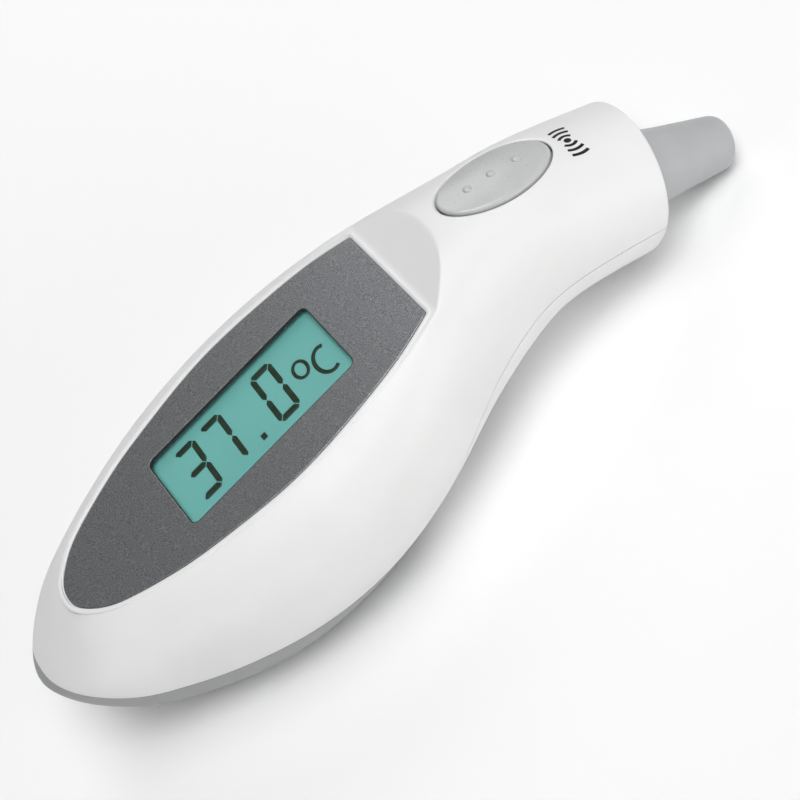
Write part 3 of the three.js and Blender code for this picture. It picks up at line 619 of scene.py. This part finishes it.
def circuit_board():
    made = material("green_circuit_board", (0.03, 0.16, 0.06), 0.35)
    mottle(made, 700, (0.02, 0.12, 0.045), (0.035, 0.18, 0.07), 3)
    roughen(made, 1500, 0.28, 0.4)
    bump(made, 900, 0.00004, 0.3)
    return made


# ---------- casing pieces ----------
RINGS, COLUMNS, SMOOTHING = 330, (30, 34, 16, 16), 5
INNER_COLUMNS = (8, 12, 8, 8)


def outer_casing():
    rings, columns, rounds = RINGS, COLUMNS, SMOOTHING
    pole, grid = casing_grid(0, rings, columns)
    return casing_solid("outer", pole, round_head(smoothed(pole, grid, rounds)))


def inner_casing(name, inset, ring_count, face_drop):
    """The casing's outline moved in by inset, and by face_drop under the display face."""
    return casing_solid(name, *casing_grid(inset, ring_count, INNER_COLUMNS, face_drop, inset))


def surface_of(made):
    """Search tree of an object's surface as it is now."""
    return BVHTree.FromObject(made, bpy.context.evaluated_depsgraph_get())


outer = outer_casing()
crown = surface_of(outer)


def crown_height(x, y):
    """Height of the casing's top surface before anything was cut, in the face frame."""
    start = Vector(to_world([[x, y, ABOVE]])[0])
    hit = crown.ray_cast(start, Vector(-TURN[:, 2]))[0]
    return ABOVE - (hit - start).length / MM


def met_from_below(under, x, y):
    """Height of a surface met from below, and its normal there, in the face frame."""
    start = Vector(to_world([[x, y, BELOW]])[0])
    hit, normal = under.ray_cast(start, Vector(TURN[:, 2]))[:2]
    return BELOW + (hit - start).length / MM, TURN.T @ np.array(normal)


def surface_cutter(name, outline, levels, deep, high):
    """Cutter through the crown, from deep to high; its levels (offset, drop) follow the crown."""
    rings = [at_height(outline, deep)]
    for offset, drop in levels:
        flat = grown(outline, offset)
        rings.append(at_height(flat, [crown_height(x, y) - drop for x, y in flat]))
    rings.append(at_height(grown(outline, levels[-1][0]), high))
    return ring_object(name, rings)


def round_over(r, steps=4):
    """Offsets and drops of an edge rounded by r, from the wall up to the surface."""
    levels = []
    for i in range(steps + 1):
        turn = math.pi / 2 * i / steps
        levels.append((r * (1 - math.cos(turn)), r * (1 - math.sin(turn))))
    return levels


def probe_point(s, r, turn):
    """Point at s along the probe axis, r away from it."""
    a = math.radians(PROBE_ANGLE)
    axis = np.array([math.cos(a), 0, -math.sin(a)])
    up = np.array([math.sin(a), 0, math.cos(a)])
    side = np.array([0, 1, 0])
    return PROBE_ROOT + axis * s + r * (up * math.cos(turn) + side * math.sin(turn))


def probe_rings(profile, sides):
    """Rings of a profile (r, s) turned round the probe axis."""
    turns = np.linspace(0, 2 * math.pi, sides, endpoint=False)
    return [[probe_point(s, r, turn) for turn in turns] for r, s in profile]


def probe_hole():
    """Cutter for the probe's hole, which widens at the head's rim."""
    r = PROBE_BASE_R
    profile = [(r + 0.1, -8), (r + 0.1, 0.1), (r + 0.2, 0.45), (r + 0.6, 0.8), (r + 1.4, 2.2),
               (r + 1.4, 4.7)]
    return ring_object("hole", probe_rings(profile, 96))


def stretch(name, x0, x1):
    """Block that holds all of the casing between two places along it."""
    return block(name, x0, x1, -60, 60, -80, 30)


shell = combine(outer, "DIFFERENCE", inner_casing("inner", WALL, 90, FACE_WALL), probe_hole())
seam_x, seam_z = seam_line(120)
half_gap = SEAM_GAP / 2
over = slab("over", np.column_stack([seam_x, seam_z + half_gap]), 60)
under = slab("under", np.column_stack([seam_x, seam_z - half_gap]), -90)
back_half = copy_of(shell, "back_half")
front = combine(shell, "INTERSECT", over)
back_half = combine(back_half, "INTERSECT", under)
cover = copy_of(back_half, "cover")
back = combine(back_half, "INTERSECT", stretch("ahead", COVER_X + half_gap, 90))
cover = combine(cover, "INTERSECT", stretch("behind", -140, COVER_X - half_gap))


# ---------- openings of the front half ----------
def panel_outline(count=110, corner_r=0.3):
    """Counter-clockwise outline of the grey panel, its two far corners rounded."""
    xs = curve_through([p[0] for p in PANEL])
    ys = curve_through([p[1] for p in PANEL])
    t = np.linspace(0, 1, count)
    side = np.column_stack([xs(t), ys(t)])
    corner = side[-1]
    start = corner + (side[-2] - corner) * corner_r / np.linalg.norm(side[-2] - corner)
    end = corner - (0, corner_r)
    u = np.linspace(0, 1, 7)[:, None]
    bend = (1 - u) ** 2 * start + 2 * u * (1 - u) * corner + u**2 * end
    straight = np.column_stack([np.full(9, corner[0]), np.linspace(end[1], 0, 11)[1:-1]])
    half = np.vstack([side[:-2], bend, straight, (corner[0], 0)])
    other = half[1:-1][::-1] * np.array([1, -1])
    return np.vstack([half, other])[::-1]


def panel_lip():
    """Low rounded lip round the panel."""
    profile = [(0.3, -0.4), (0.3, 0.02), (0.42, 0.1), (0.62, 0.13), (0.82, 0.1), (0.95, 0), (1.0, -0.4)]
    return prism("lip", panel_outline(), profile, closed=True)


def panel_pocket():
    """Cutter for the panel's pocket, with a small round edge."""
    clear, edge_r = 0.08, 0.35
    levels = [(clear, PANEL_BACK - GAP)]
    levels += [(clear + out, -drop) for out, drop in round_over(edge_r, 6)]
    levels += [(clear + edge_r + 0.01, 3)]
    return prism("pocket", panel_outline(), levels)


def window_well(name, ledge, low, high):
    """Cutter under the panel, the size of the pane with a gap, less a ledge on every side."""
    grow = 2 * (GAP - ledge)
    outline = rounded_rectangle(WINDOW_X, 0, PANE_LENGTH + grow, PANE_WIDTH + grow, PANE_CORNER_R)
    return prism(name, outline, [(0, low), (0, high)])


def button_hole():
    """Cutter for the button's hole, rounded over along the crown."""
    outline = ellipse(BUTTON_X, 0, BUTTON_A + BUTTON_CLEAR, BUTTON_B + BUTTON_CLEAR)
    return surface_cutter("button_hole", outline, round_over(0.45, 5), -14, 14)


front = combine(front, "UNION", panel_lip())
front = combine(front, "DIFFERENCE", panel_pocket(), window_well("pane_hole", 0, LCD_TOP, 3),
                window_well("lcd_hole", PANE_LEDGE, -12, LCD_TOP + 0.2), button_hole())


# ---------- screw bosses of the back half ----------
def screw_tower(x, y):
    """Screw boss, rooted halfway into the casing's wall."""
    outline = ellipse(x, y, SCREW_BOSS_R, SCREW_BOSS_R, 48)
    tower = prism("tower", outline, [(0, SCREW_BOSS_LOW), (0, SCREW_BOSS_TOP)])
    return combine(tower, "INTERSECT", inner_casing("core", WALL / 2, 60, WALL / 2))


def screw_bore(x, y, under):
    """Through bore with a wide counterbore from the back, rounded at the surface under."""
    mouth = met_from_below(under, x, y)[0]
    head = SCREW_HEAD_R
    profile = [
        (head + 0.7, BELOW), (head + 0.7, mouth - 0.4), (head + 0.25, mouth), (head + 0.05, mouth + 0.35),
        (head, mouth + 0.7), (head, SCREW_SEAT), (SCREW_HOLE_R, SCREW_SEAT), (SCREW_HOLE_R, -10),
    ]
    return ring_object("bore", [at_height(ellipse(x, y, r, r, 64), z) for r, z in profile])


back_surface = surface_of(back)
screws = [(SCREW_X, SCREW_Y * side) for side in (-1, 1)]
back = combine(back, "UNION", *[screw_tower(x, y) for x, y in screws])
back = combine(back, "DIFFERENCE", *[screw_bore(x, y, back_surface) for x, y in screws])


# ---------- battery cover ----------
def thumb_ridge(x, under):
    """Rounded ridge across the back of the cover, along the surface under, low at its ends."""
    rings = []
    for y in np.linspace(-RIDGE_HALF, RIDGE_HALF, 41):
        high = RIDGE_HIGH * (1 - 0.95 * (abs(y) / RIDGE_HALF) ** 6)
        z, out = met_from_below(under, x, y)
        along = np.cross((0, 1, 0), out)
        along /= np.linalg.norm(along)
        ring = []
        for turn in np.linspace(0, 2 * math.pi, 24, endpoint=False):
            ring.append((x, y, z) + along * RIDGE_WIDE * math.cos(turn) + out * high * math.sin(turn))
        rings.append(ring)
    return ring_object("ridge", rings)


def tongue_blocks():
    """Latch tongue, and the foot that roots it in the cover's wall."""
    blocks = []
    for end, low in ((TONGUE_FOOT_END, TONGUE_FOOT_LOW), (TONGUE_END, TONGUE_LOW)):
        blocks.append(block("tongue", TONGUE_START, end, -TONGUE_HALF, TONGUE_HALF, low, TONGUE_TOP))
    return blocks


cover_surface = surface_of(cover)
cover = combine(cover, "UNION", *[thumb_ridge(x, cover_surface) for x in RIDGE_XS])
cover = combine(cover, "UNION", *tongue_blocks())


# ---------- button ----------
CAP_XS, CAP_YS = np.linspace(BUTTON_X - 10, BUTTON_X + 10, 41), np.linspace(0, 6, 25)
CAP_HEIGHTS = [crown_height(x, 0) for x in CAP_XS]
CAP_DROPS = [crown_height(BUTTON_X, 0) - crown_height(BUTTON_X, y) for y in CAP_YS]


def cap_height(x, y):
    """Height of the crown that the button follows, as it was before its hole was cut."""
    return float(np.interp(x, CAP_XS, CAP_HEIGHTS)) - float(np.interp(abs(y), CAP_YS, CAP_DROPS))


def raised_dot(x):
    """Low dome on the button, leaning with its top."""
    z = cap_height(x, DOT_Y) + BUTTON_PROUD
    slope = cap_height(x + 0.5, 0) - cap_height(x - 0.5, 0)
    profile = [(0.7, -0.5), (0.7, -0.02), (0.64, 0.12), (0.53, 0.27), (0.39, 0.38), (0.21, 0.46),
               (0.06, 0.48)]
    rings = []
    for r, height in profile:
        rings.append([(px, py, z + height + slope * (px - x)) for px, py in ellipse(x, DOT_Y, r, r, 30)])
    return ring_object("dot", rings)


def scan_button():
    """Oval cap that follows the crown, with a rounded edge and raised dots."""
    flat_a, flat_b = BUTTON_A - BUTTON_EDGE_R, BUTTON_B - BUTTON_EDGE_R
    ovals = [(flat_a * share, flat_b * share, 0) for share in np.linspace(0.04, 1, 26)]
    for i in range(1, 7):
        swing = math.pi / 2 * i / 6
        out, drop = BUTTON_EDGE_R * math.sin(swing), BUTTON_EDGE_R * (1 - math.cos(swing))
        ovals.append((flat_a + out, flat_b + out, drop))
    rings = []
    for a, b, drop in ovals:
        oval = ellipse(BUTTON_X, 0, a, b, 120)
        rings.append([(x, y, cap_height(x, y) + BUTTON_PROUD - drop) for x, y in oval])
    rings.append([(x, y, z - BUTTON_DEPTH) for x, y, z in rings[-1]])
    cap = ring_object("scan_button_cap", rings[::-1])
    return combine(cap, "UNION", *[raised_dot(x) for x in DOT_XS])


button = scan_button()


# ---------- probe ----------
def cone_radius(s):
    """Outer radius of the probe at s along its axis, flared at the root."""
    lean = (PROBE_BASE_R - FLARE - PROBE_TIP_R) / PROBE_LENGTH
    return PROBE_BASE_R - FLARE - lean * s + FLARE * max(0, 1 - s / FLARE_LENGTH) ** 2


def probe_nozzle():
    """Hollow cone with a rounded tip, turned round the probe axis, on a flange in the casing."""
    edge_start = PROBE_LENGTH - PROBE_EDGE_R
    profile = [(5.6, -4), (8.5, -4), (8.5, -3.1), (PROBE_BASE_R, -3.1)]
    profile += [(cone_radius(s), s) for s in np.linspace(0, edge_start, 24)]
    for i in range(1, 9):
        swing = math.pi / 2 * i / 8
        r = cone_radius(edge_start) - PROBE_EDGE_R * (1 - math.cos(swing)) - 0.08
        profile.append((r, edge_start + PROBE_EDGE_R * math.sin(swing)))
    profile += [(PROBE_MOUTH_R + 0.12, PROBE_LENGTH), (PROBE_MOUTH_R, PROBE_LENGTH - 0.12)]
    profile += [(PROBE_MOUTH_R, PROBE_LENGTH - 1.2), (3.3, PROBE_LENGTH - 1.2)]
    profile += [(3.5, PROBE_LENGTH - 8), (5.4, 1)]
    return ring_object("probe_cone", probe_rings(profile, 128), closed=True, smooth_angle=30)


nozzle = probe_nozzle()


# ---------- panel round the display ----------
def window_outline():
    """Outline of the display opening."""
    return rounded_rectangle(WINDOW_X, 0, WINDOW_LENGTH, WINDOW_WIDTH, WINDOW_CORNER_R, 12)


def display_bezel():
    """Grey panel with the display opening; all its top edges are slightly rounded."""
    plate = prism("sparkle_panel", panel_outline(), [
        (0, PANEL_BACK), (0, PANEL_TOP - 0.1), (-0.03, PANEL_TOP - 0.03), (-0.1, PANEL_TOP),
    ])
    opening = prism("opening", window_outline(), [
        (0, PANEL_BACK - 1), (0, PANEL_TOP - 0.06), (0.02, PANEL_TOP - 0.015), (0.06, PANEL_TOP),
        (0.06, PANEL_TOP + 1),
    ])
    return combine(plate, "DIFFERENCE", opening)


def window_shade_lining():
    """Thin black frame that lines the opening, down to the pane; its black is painted shade on the
    opening's walls.
    """
    profile = [(-0.02, SHADE_LINING_LOW), (-0.02, SHADE_LINING_TOP), (-0.12, SHADE_LINING_TOP), (-0.12, SHADE_LINING_LOW)]
    return prism("shade_lining", window_outline(), profile, closed=True)


bezel = display_bezel()
shade_lining = window_shade_lining()

# ---------- display digits ----------
SEGMENT_TOP, SEGMENT_THICK = LCD_TOP + 0.03, 0.02
DIGIT_HEIGHT, DIGIT_WIDTH = 11.1, 4.3
STROKE_UP, STROKE_FLAT, BAR_GAP = 0.95, 1.2, 0.1
CORNER_CUT = 0.35  # share of the mitre taken off at each outer corner
LEAN = math.tan(math.radians(2))
SEGMENTS = {"0": "abcdef", "3": "abgcd", "7": "abc"}
READING, DIGITS_Y = (("3", -28.45), ("7", -23.1), ("0", -12.55)), 0.9
POINT_X, POINT_Y = (-18.35, -17.45), (-4.35, -3.2)


def segment_bars(cx, cy, digit):
    """Bars of one seven-segment digit, as outlines: mitred corners, pointed middle ends."""
    w, h = DIGIT_WIDTH / 2, DIGIT_HEIGHT / 2
    up, flat, gap, cut = STROKE_UP, STROKE_FLAT, BAR_GAP, CORNER_CUT
    shoulder = flat / 2 + gap
    top = [(-w + gap + cut * up, h - cut * flat), (-w + gap + up, h - flat),
           (w - gap - up, h - flat), (w - gap - cut * up, h - cut * flat),
           (w - gap - 2 * cut * up, h), (-w + gap + 2 * cut * up, h)]
    right = [(w, h - gap - 2 * cut * flat), (w, shoulder), (w - up / 2, gap / 2),
             (w - up, shoulder), (w - up, h - gap - flat), (w - cut * up, h - gap - cut * flat)]
    middle = [(-w + up / 2 + gap, 0), (-w + up + gap, -flat / 2), (w - up - gap, -flat / 2),
              (w - up / 2 - gap, 0), (w - up - gap, flat / 2), (-w + up + gap, flat / 2)]
    shapes = {
        "a": (top, 1, 1), "d": (top, 1, -1), "g": (middle, 1, 1), "b": (right, 1, 1),
        "c": (right, 1, -1), "f": (right, -1, 1), "e": (right, -1, -1),
    }
    bars = []
    for key in SEGMENTS[digit]:
        bar, across, along = shapes[key]
        turned = [(x * across, y * along) for x, y in bar]
        bars.append([(cx + x + LEAN * y, cy + y) for x, y in turned])
    return bars


def oval_band(cx, cy, a, b, stroke, start, end, steps=40):
    """Outline of a band along an ellipse between two angles, degrees."""
    turns = np.radians(np.linspace(start, end, steps))
    outer_line = [(cx + a * math.cos(t), cy + b * math.sin(t)) for t in turns]
    inner_line = [(cx + (a - stroke) * math.cos(t), cy + (b - stroke) * math.sin(t)) for t in turns]
    return outer_line + inner_line[::-1]


def flat_shapes(name, outlines, low, high):
    """Thin plates of the given outlines, one mesh."""
    points, faces = [], []
    for outline in outlines:
        base, count = len(points), len(outline)
        points += [(x, y, z) for z in (low, high) for x, y in outline]
        faces.append(tuple(base + i for i in range(count))[::-1])
        faces.append(tuple(base + count + i for i in range(count)))
        faces += side_faces(base, count)
    return mesh_object(name, points, faces)


def side_faces(base, count):
    """Faces round a plate whose lower outline starts at point base, the upper one after it."""
    faces = []
    for i in range(count):
        k = (i + 1) % count
        faces.append((base + i, base + k, base + count + k, base + count + i))
    return faces


def lcd_segments():
    """The reading: three digits with a point, the degree sign and the unit."""
    outlines = []
    for digit, x in READING:
        outlines += segment_bars(x, DIGITS_Y, digit)
    outlines.append([(POINT_X[0], POINT_Y[0]), (POINT_X[1], POINT_Y[0]), (POINT_X[1], POINT_Y[1]),
                     (POINT_X[0], POINT_Y[1])])
    for start in (0.3, 180.3):  # the degree sign's two halves, a hair apart
        outlines.append(oval_band(-7.55, 0.4, 1.45, 1.95, 0.58, start, start + 179.4))
    outlines.append(oval_band(-3.75, -1.65, 2.2, 3.05, 0.7, 62, 298))
    return flat_shapes("lcd_segments", outlines, SEGMENT_TOP - SEGMENT_THICK, SEGMENT_TOP)


digits = lcd_segments()

# ---------- printed mark ----------
MARK_DOT_R, MARK_STROKE = 0.5, 0.45
MARK_ARCS = ((1.35, 52), (2.35, 33), (3.35, 23))  # radius and half angle
MARK_LEVELS = (0.01, 0.05)  # its two sides over the casing's surface


def scan_mark():
    """Printed mark beside the button: a dot between arcs, laid on the surface."""
    shapes = [ellipse(0, 0, MARK_DOT_R, MARK_DOT_R, 24, math.pi / 24)]
    for r, spread in MARK_ARCS:
        for middle in (0, 180):
            shapes.append(oval_band(0, 0, r, r, MARK_STROKE, middle - spread, middle + spread, 18))
    points, faces = [], []
    for outline in shapes:
        base, count = len(points), len(outline)
        flat = [(MARK_X + v, MARK_Y + u) for u, v in outline]
        for level in MARK_LEVELS:
            points += [(x, y, crown_height(x, y) + level) for x, y in flat]
        # Each outline's first half faces its second half, so a ladder of quads fills it.
        for i in range(count // 2 - 1):
            a, b, c, d = base + i, base + i + 1, base + count - 2 - i, base + count - 1 - i
            faces.append((a, d, c, b))
            faces.append((a + count, b + count, c + count, d + count))
        faces += side_faces(base, count)
    return mesh_object("scan_mark", points, faces)


mark = scan_mark()

# ---------- finish and bodies ----------
clear = clear_plastic()
# Dark plastic for the parts inside; the same material also colours the display opening's lining, where
# its darkness is painted shade.
black = plain_plastic("black_plastic", (0.02, 0.02, 0.022), 0.5)
NODE_LOOKS = [
    (clear, "display_window", "probe_window", "backlight_guide"),
    (lcd_teal(), "lcd_glass"),
    (plain_plastic("white_plastic", (0.72, 0.72, 0.69), 0.45),
     "sensor_holder", "lcd_frame", "backlight_led"),
    (metal("steel", (0.6, 0.6, 0.62), 0.28),
     "thermopile_can", "crystal_can", "contact_bridge", "contact_plate", "contact_spring",
     "board_screw_1", "board_screw_2", "board_screw_3", "tray_screw_1", "tray_screw_2",
     "case_screw_1", "case_screw_2"),
    (metal("aluminium", (0.55, 0.56, 0.58), 0.38), "thermal_block"),
    (metal("gold_plate", (0.85, 0.6, 0.22), 0.2), "waveguide_tube", "capacitor_1", "capacitor_2"),
    (plain_plastic("rubber", (0.03, 0.03, 0.033), 0.7), "zebra_strip"),
    (circuit_board(), "main_board", "sensor_board"),
    (plain_plastic("chip_resin", (0.015, 0.015, 0.017), 0.4), "controller_chip", "amplifier_chip"),
    (plain_plastic("copper_film", (0.42, 0.16, 0.05), 0.35), "sensor_ribbon"),
    (plain_plastic("cell_sleeve", (0.03, 0.08, 0.2), 0.3), "battery_1", "battery_2"),
    (plain_plastic("red_wire", (0.35, 0.02, 0.02), 0.45), "battery_lead_red"),
    (black, "switch_plunger", "buzzer", "tact_switch", "battery_tray", "battery_lead_black"),
]
for look, *names in NODE_LOOKS:
    for name in names:
        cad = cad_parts[name]
        cad.data.materials.clear()
        cad.data.materials.append(look)


def finish_piece(made, name, look, body, slot, *nodes, angle=32):
    """Names a piece, cleans and shades it, gives it its material, ties it to its body and hides the nodes
    that it stands in for.
    """
    made.name = name
    made.data.materials.clear()
    made.data.materials.append(look)
    for polygon in made.data.polygons:
        polygon.material_index = 0
    clean(made)
    shade(made, angle)
    even = made.modifiers.new("even_normals", "WEIGHTED_NORMAL")
    even.keep_sharp = True
    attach(made, body)
    if nodes:
        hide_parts(*nodes)


white = white_shell()
finish_piece(front, "front_shell", white, "casing", "white_shell", "front_housing")
finish_piece(back, "back_shell", white, "casing", "white_shell", "back_housing")
finish_piece(cover, "cover_shell", cover_grey(), "cover", "cover_grey", "battery_cover")
finish_piece(button, "scan_button_cap", button_grey(), "button", "button_grey", "scan_button")
finish_piece(nozzle, "probe_cone", probe_grey(), "casing", "probe_grey", "probe_nozzle")
finish_piece(bezel, "sparkle_panel", panel_grey(), "casing", "panel_grey", "display_bezel",
             angle=15)
# The lining's black is painted shade on the walls of the display opening, not a part of the thermometer.
finish_piece(shade_lining, "window_shade_lining", black, "casing", "black_plastic")
finish_piece(digits, "lcd_segments", lcd_dark(), "casing", "lcd")
finish_piece(mark, "scan_mark", plain_plastic("black_print", (0.015, 0.015, 0.016), 0.4),
             "casing", "black_plastic")

# ---------- camera ----------
CAMERA_AZIMUTH, CAMERA_ELEVATION, CAMERA_ROLL = 3.5, 48.6, 48.0
CAMERA_TARGET = np.array([0, -18.9, 0])
CAMERA_DISTANCE = 275.9
LENS, SENSOR_WIDTH = 90, 36
NEAREST = 0.01  # metres


def place_camera():
    """Camera turned round the display face's frame, aimed at CAMERA_TARGET."""
    a, e, r = map(math.radians, (CAMERA_AZIMUTH, CAMERA_ELEVATION, CAMERA_ROLL))
    back = np.array([math.sin(a) * math.cos(e), -math.cos(a) * math.cos(e), math.sin(e)])
    right = np.array([math.cos(a), math.sin(a), 0])
    up = np.cross(back, right)
    across = math.cos(r) * right - math.sin(r) * up
    upward = math.sin(r) * right + math.cos(r) * up
    data = bpy.data.cameras.new("camera")
    data.lens = LENS
    data.sensor_width = SENSOR_WIDTH
    data.clip_start = NEAREST
    camera = bpy.data.objects.new("camera", data)
    bpy.context.scene.collection.objects.link(camera)
    place = to_world([CAMERA_TARGET + back * CAMERA_DISTANCE])[0]
    axes = [TURN @ v for v in (across, upward, back)]
    matrix = Matrix.Identity(4)
    for k in range(3):
        for i in range(3):
            matrix[i][k] = axes[k][i]
        matrix[k][3] = place[k]
    camera.matrix_world = matrix
    bpy.context.scene.camera = camera


place_camera()

# ---------- light, floor and backdrop, in metres and watts ----------
LIGHTS_AIM = Vector((0, 0, 0.015))
FLOOR_HALF = 5  # the backdrop's dome sits just inside it
FLOOR_DROP = 0.02 * MM  # keeps the floor clear of the faces that rest on it


def area_light(name, place, size, power):
    """Soft round light that faces the thermometer."""
    data = bpy.data.lights.new(name, "AREA")
    data.shape = "DISK"
    data.size = size
    data.energy = power
    lamp = bpy.data.objects.new(name, data)
    bpy.context.scene.collection.objects.link(lamp)
    lamp.location = place
    lamp.rotation_euler = (LIGHTS_AIM - lamp.location).to_track_quat("-Z", "Y").to_euler()


def distant_light(name, direction, power, spread):
    """Even light from one direction over the whole floor; spread in degrees."""
    data = bpy.data.lights.new(name, "SUN")
    data.energy = power
    data.angle = math.radians(spread)
    lamp = bpy.data.objects.new(name, data)
    bpy.context.scene.collection.objects.link(lamp)
    lamp.rotation_euler = (-Vector(direction)).to_track_quat("-Z", "Y").to_euler()


def studio_world():
    """Faint white light from all round."""
    world = bpy.data.worlds.new("studio")
    world.use_nodes = True
    background = world.node_tree.nodes["Background"]
    background.inputs["Color"].default_value = (1, 1, 1, 1)
    background.inputs["Strength"].default_value = 0.07
    bpy.context.scene.world = world


def stage_object(name, mesh, look):
    """Object that is part of the studio, not of the thermometer."""
    made = bpy.data.objects.new(name, mesh)
    bpy.context.scene.collection.objects.link(made)
    mesh.materials.append(look)
    return made


def pale_floor():
    mesh = bpy.data.meshes.new("floor")
    corners = ((-1, -1), (1, -1), (1, 1), (-1, 1))
    points = [(x * FLOOR_HALF, y * FLOOR_HALF, -FLOOR_DROP) for x, y in corners]
    mesh.from_pydata(points, [], [(0, 1, 2, 3)])
    stage_object("floor", mesh, material("pale_floor", (0.96, 0.96, 0.96), 0.8))


def pale_backdrop():
    """Dome behind the floor, which the camera sees and which lights nothing."""
    mesh = bpy.data.meshes.new("backdrop")
    dome = bmesh.new()
    bmesh.ops.create_uvsphere(dome, u_segments=32, v_segments=16, radius=FLOOR_HALF * 0.98)
    dome.to_mesh(mesh)
    dome.free()
    look = material("pale_backdrop", (0, 0, 0), 1, Emission_Color=(1, 1, 1, 1),
                    Emission_Strength=0.85)
    backdrop = stage_object("backdrop", mesh, look)
    backdrop.visible_diffuse = False
    backdrop.visible_glossy = False
    backdrop.visible_transmission = False
    backdrop.visible_shadow = False


distant_light("overhead", direction=(0.16, -0.15, 1), power=0.9, spread=38)
distant_light("front", direction=(0.03, -0.45, 0.89), power=1.6, spread=42)
area_light("low", place=(0.24, -0.45, 0.12), size=0.3, power=0.6)
area_light("behind", place=(0.22, 0.45, 0.5), size=0.4, power=0.95)
studio_world()
pale_floor()
pale_backdrop()
bpy.context.scene.view_settings.view_transform = "Standard"
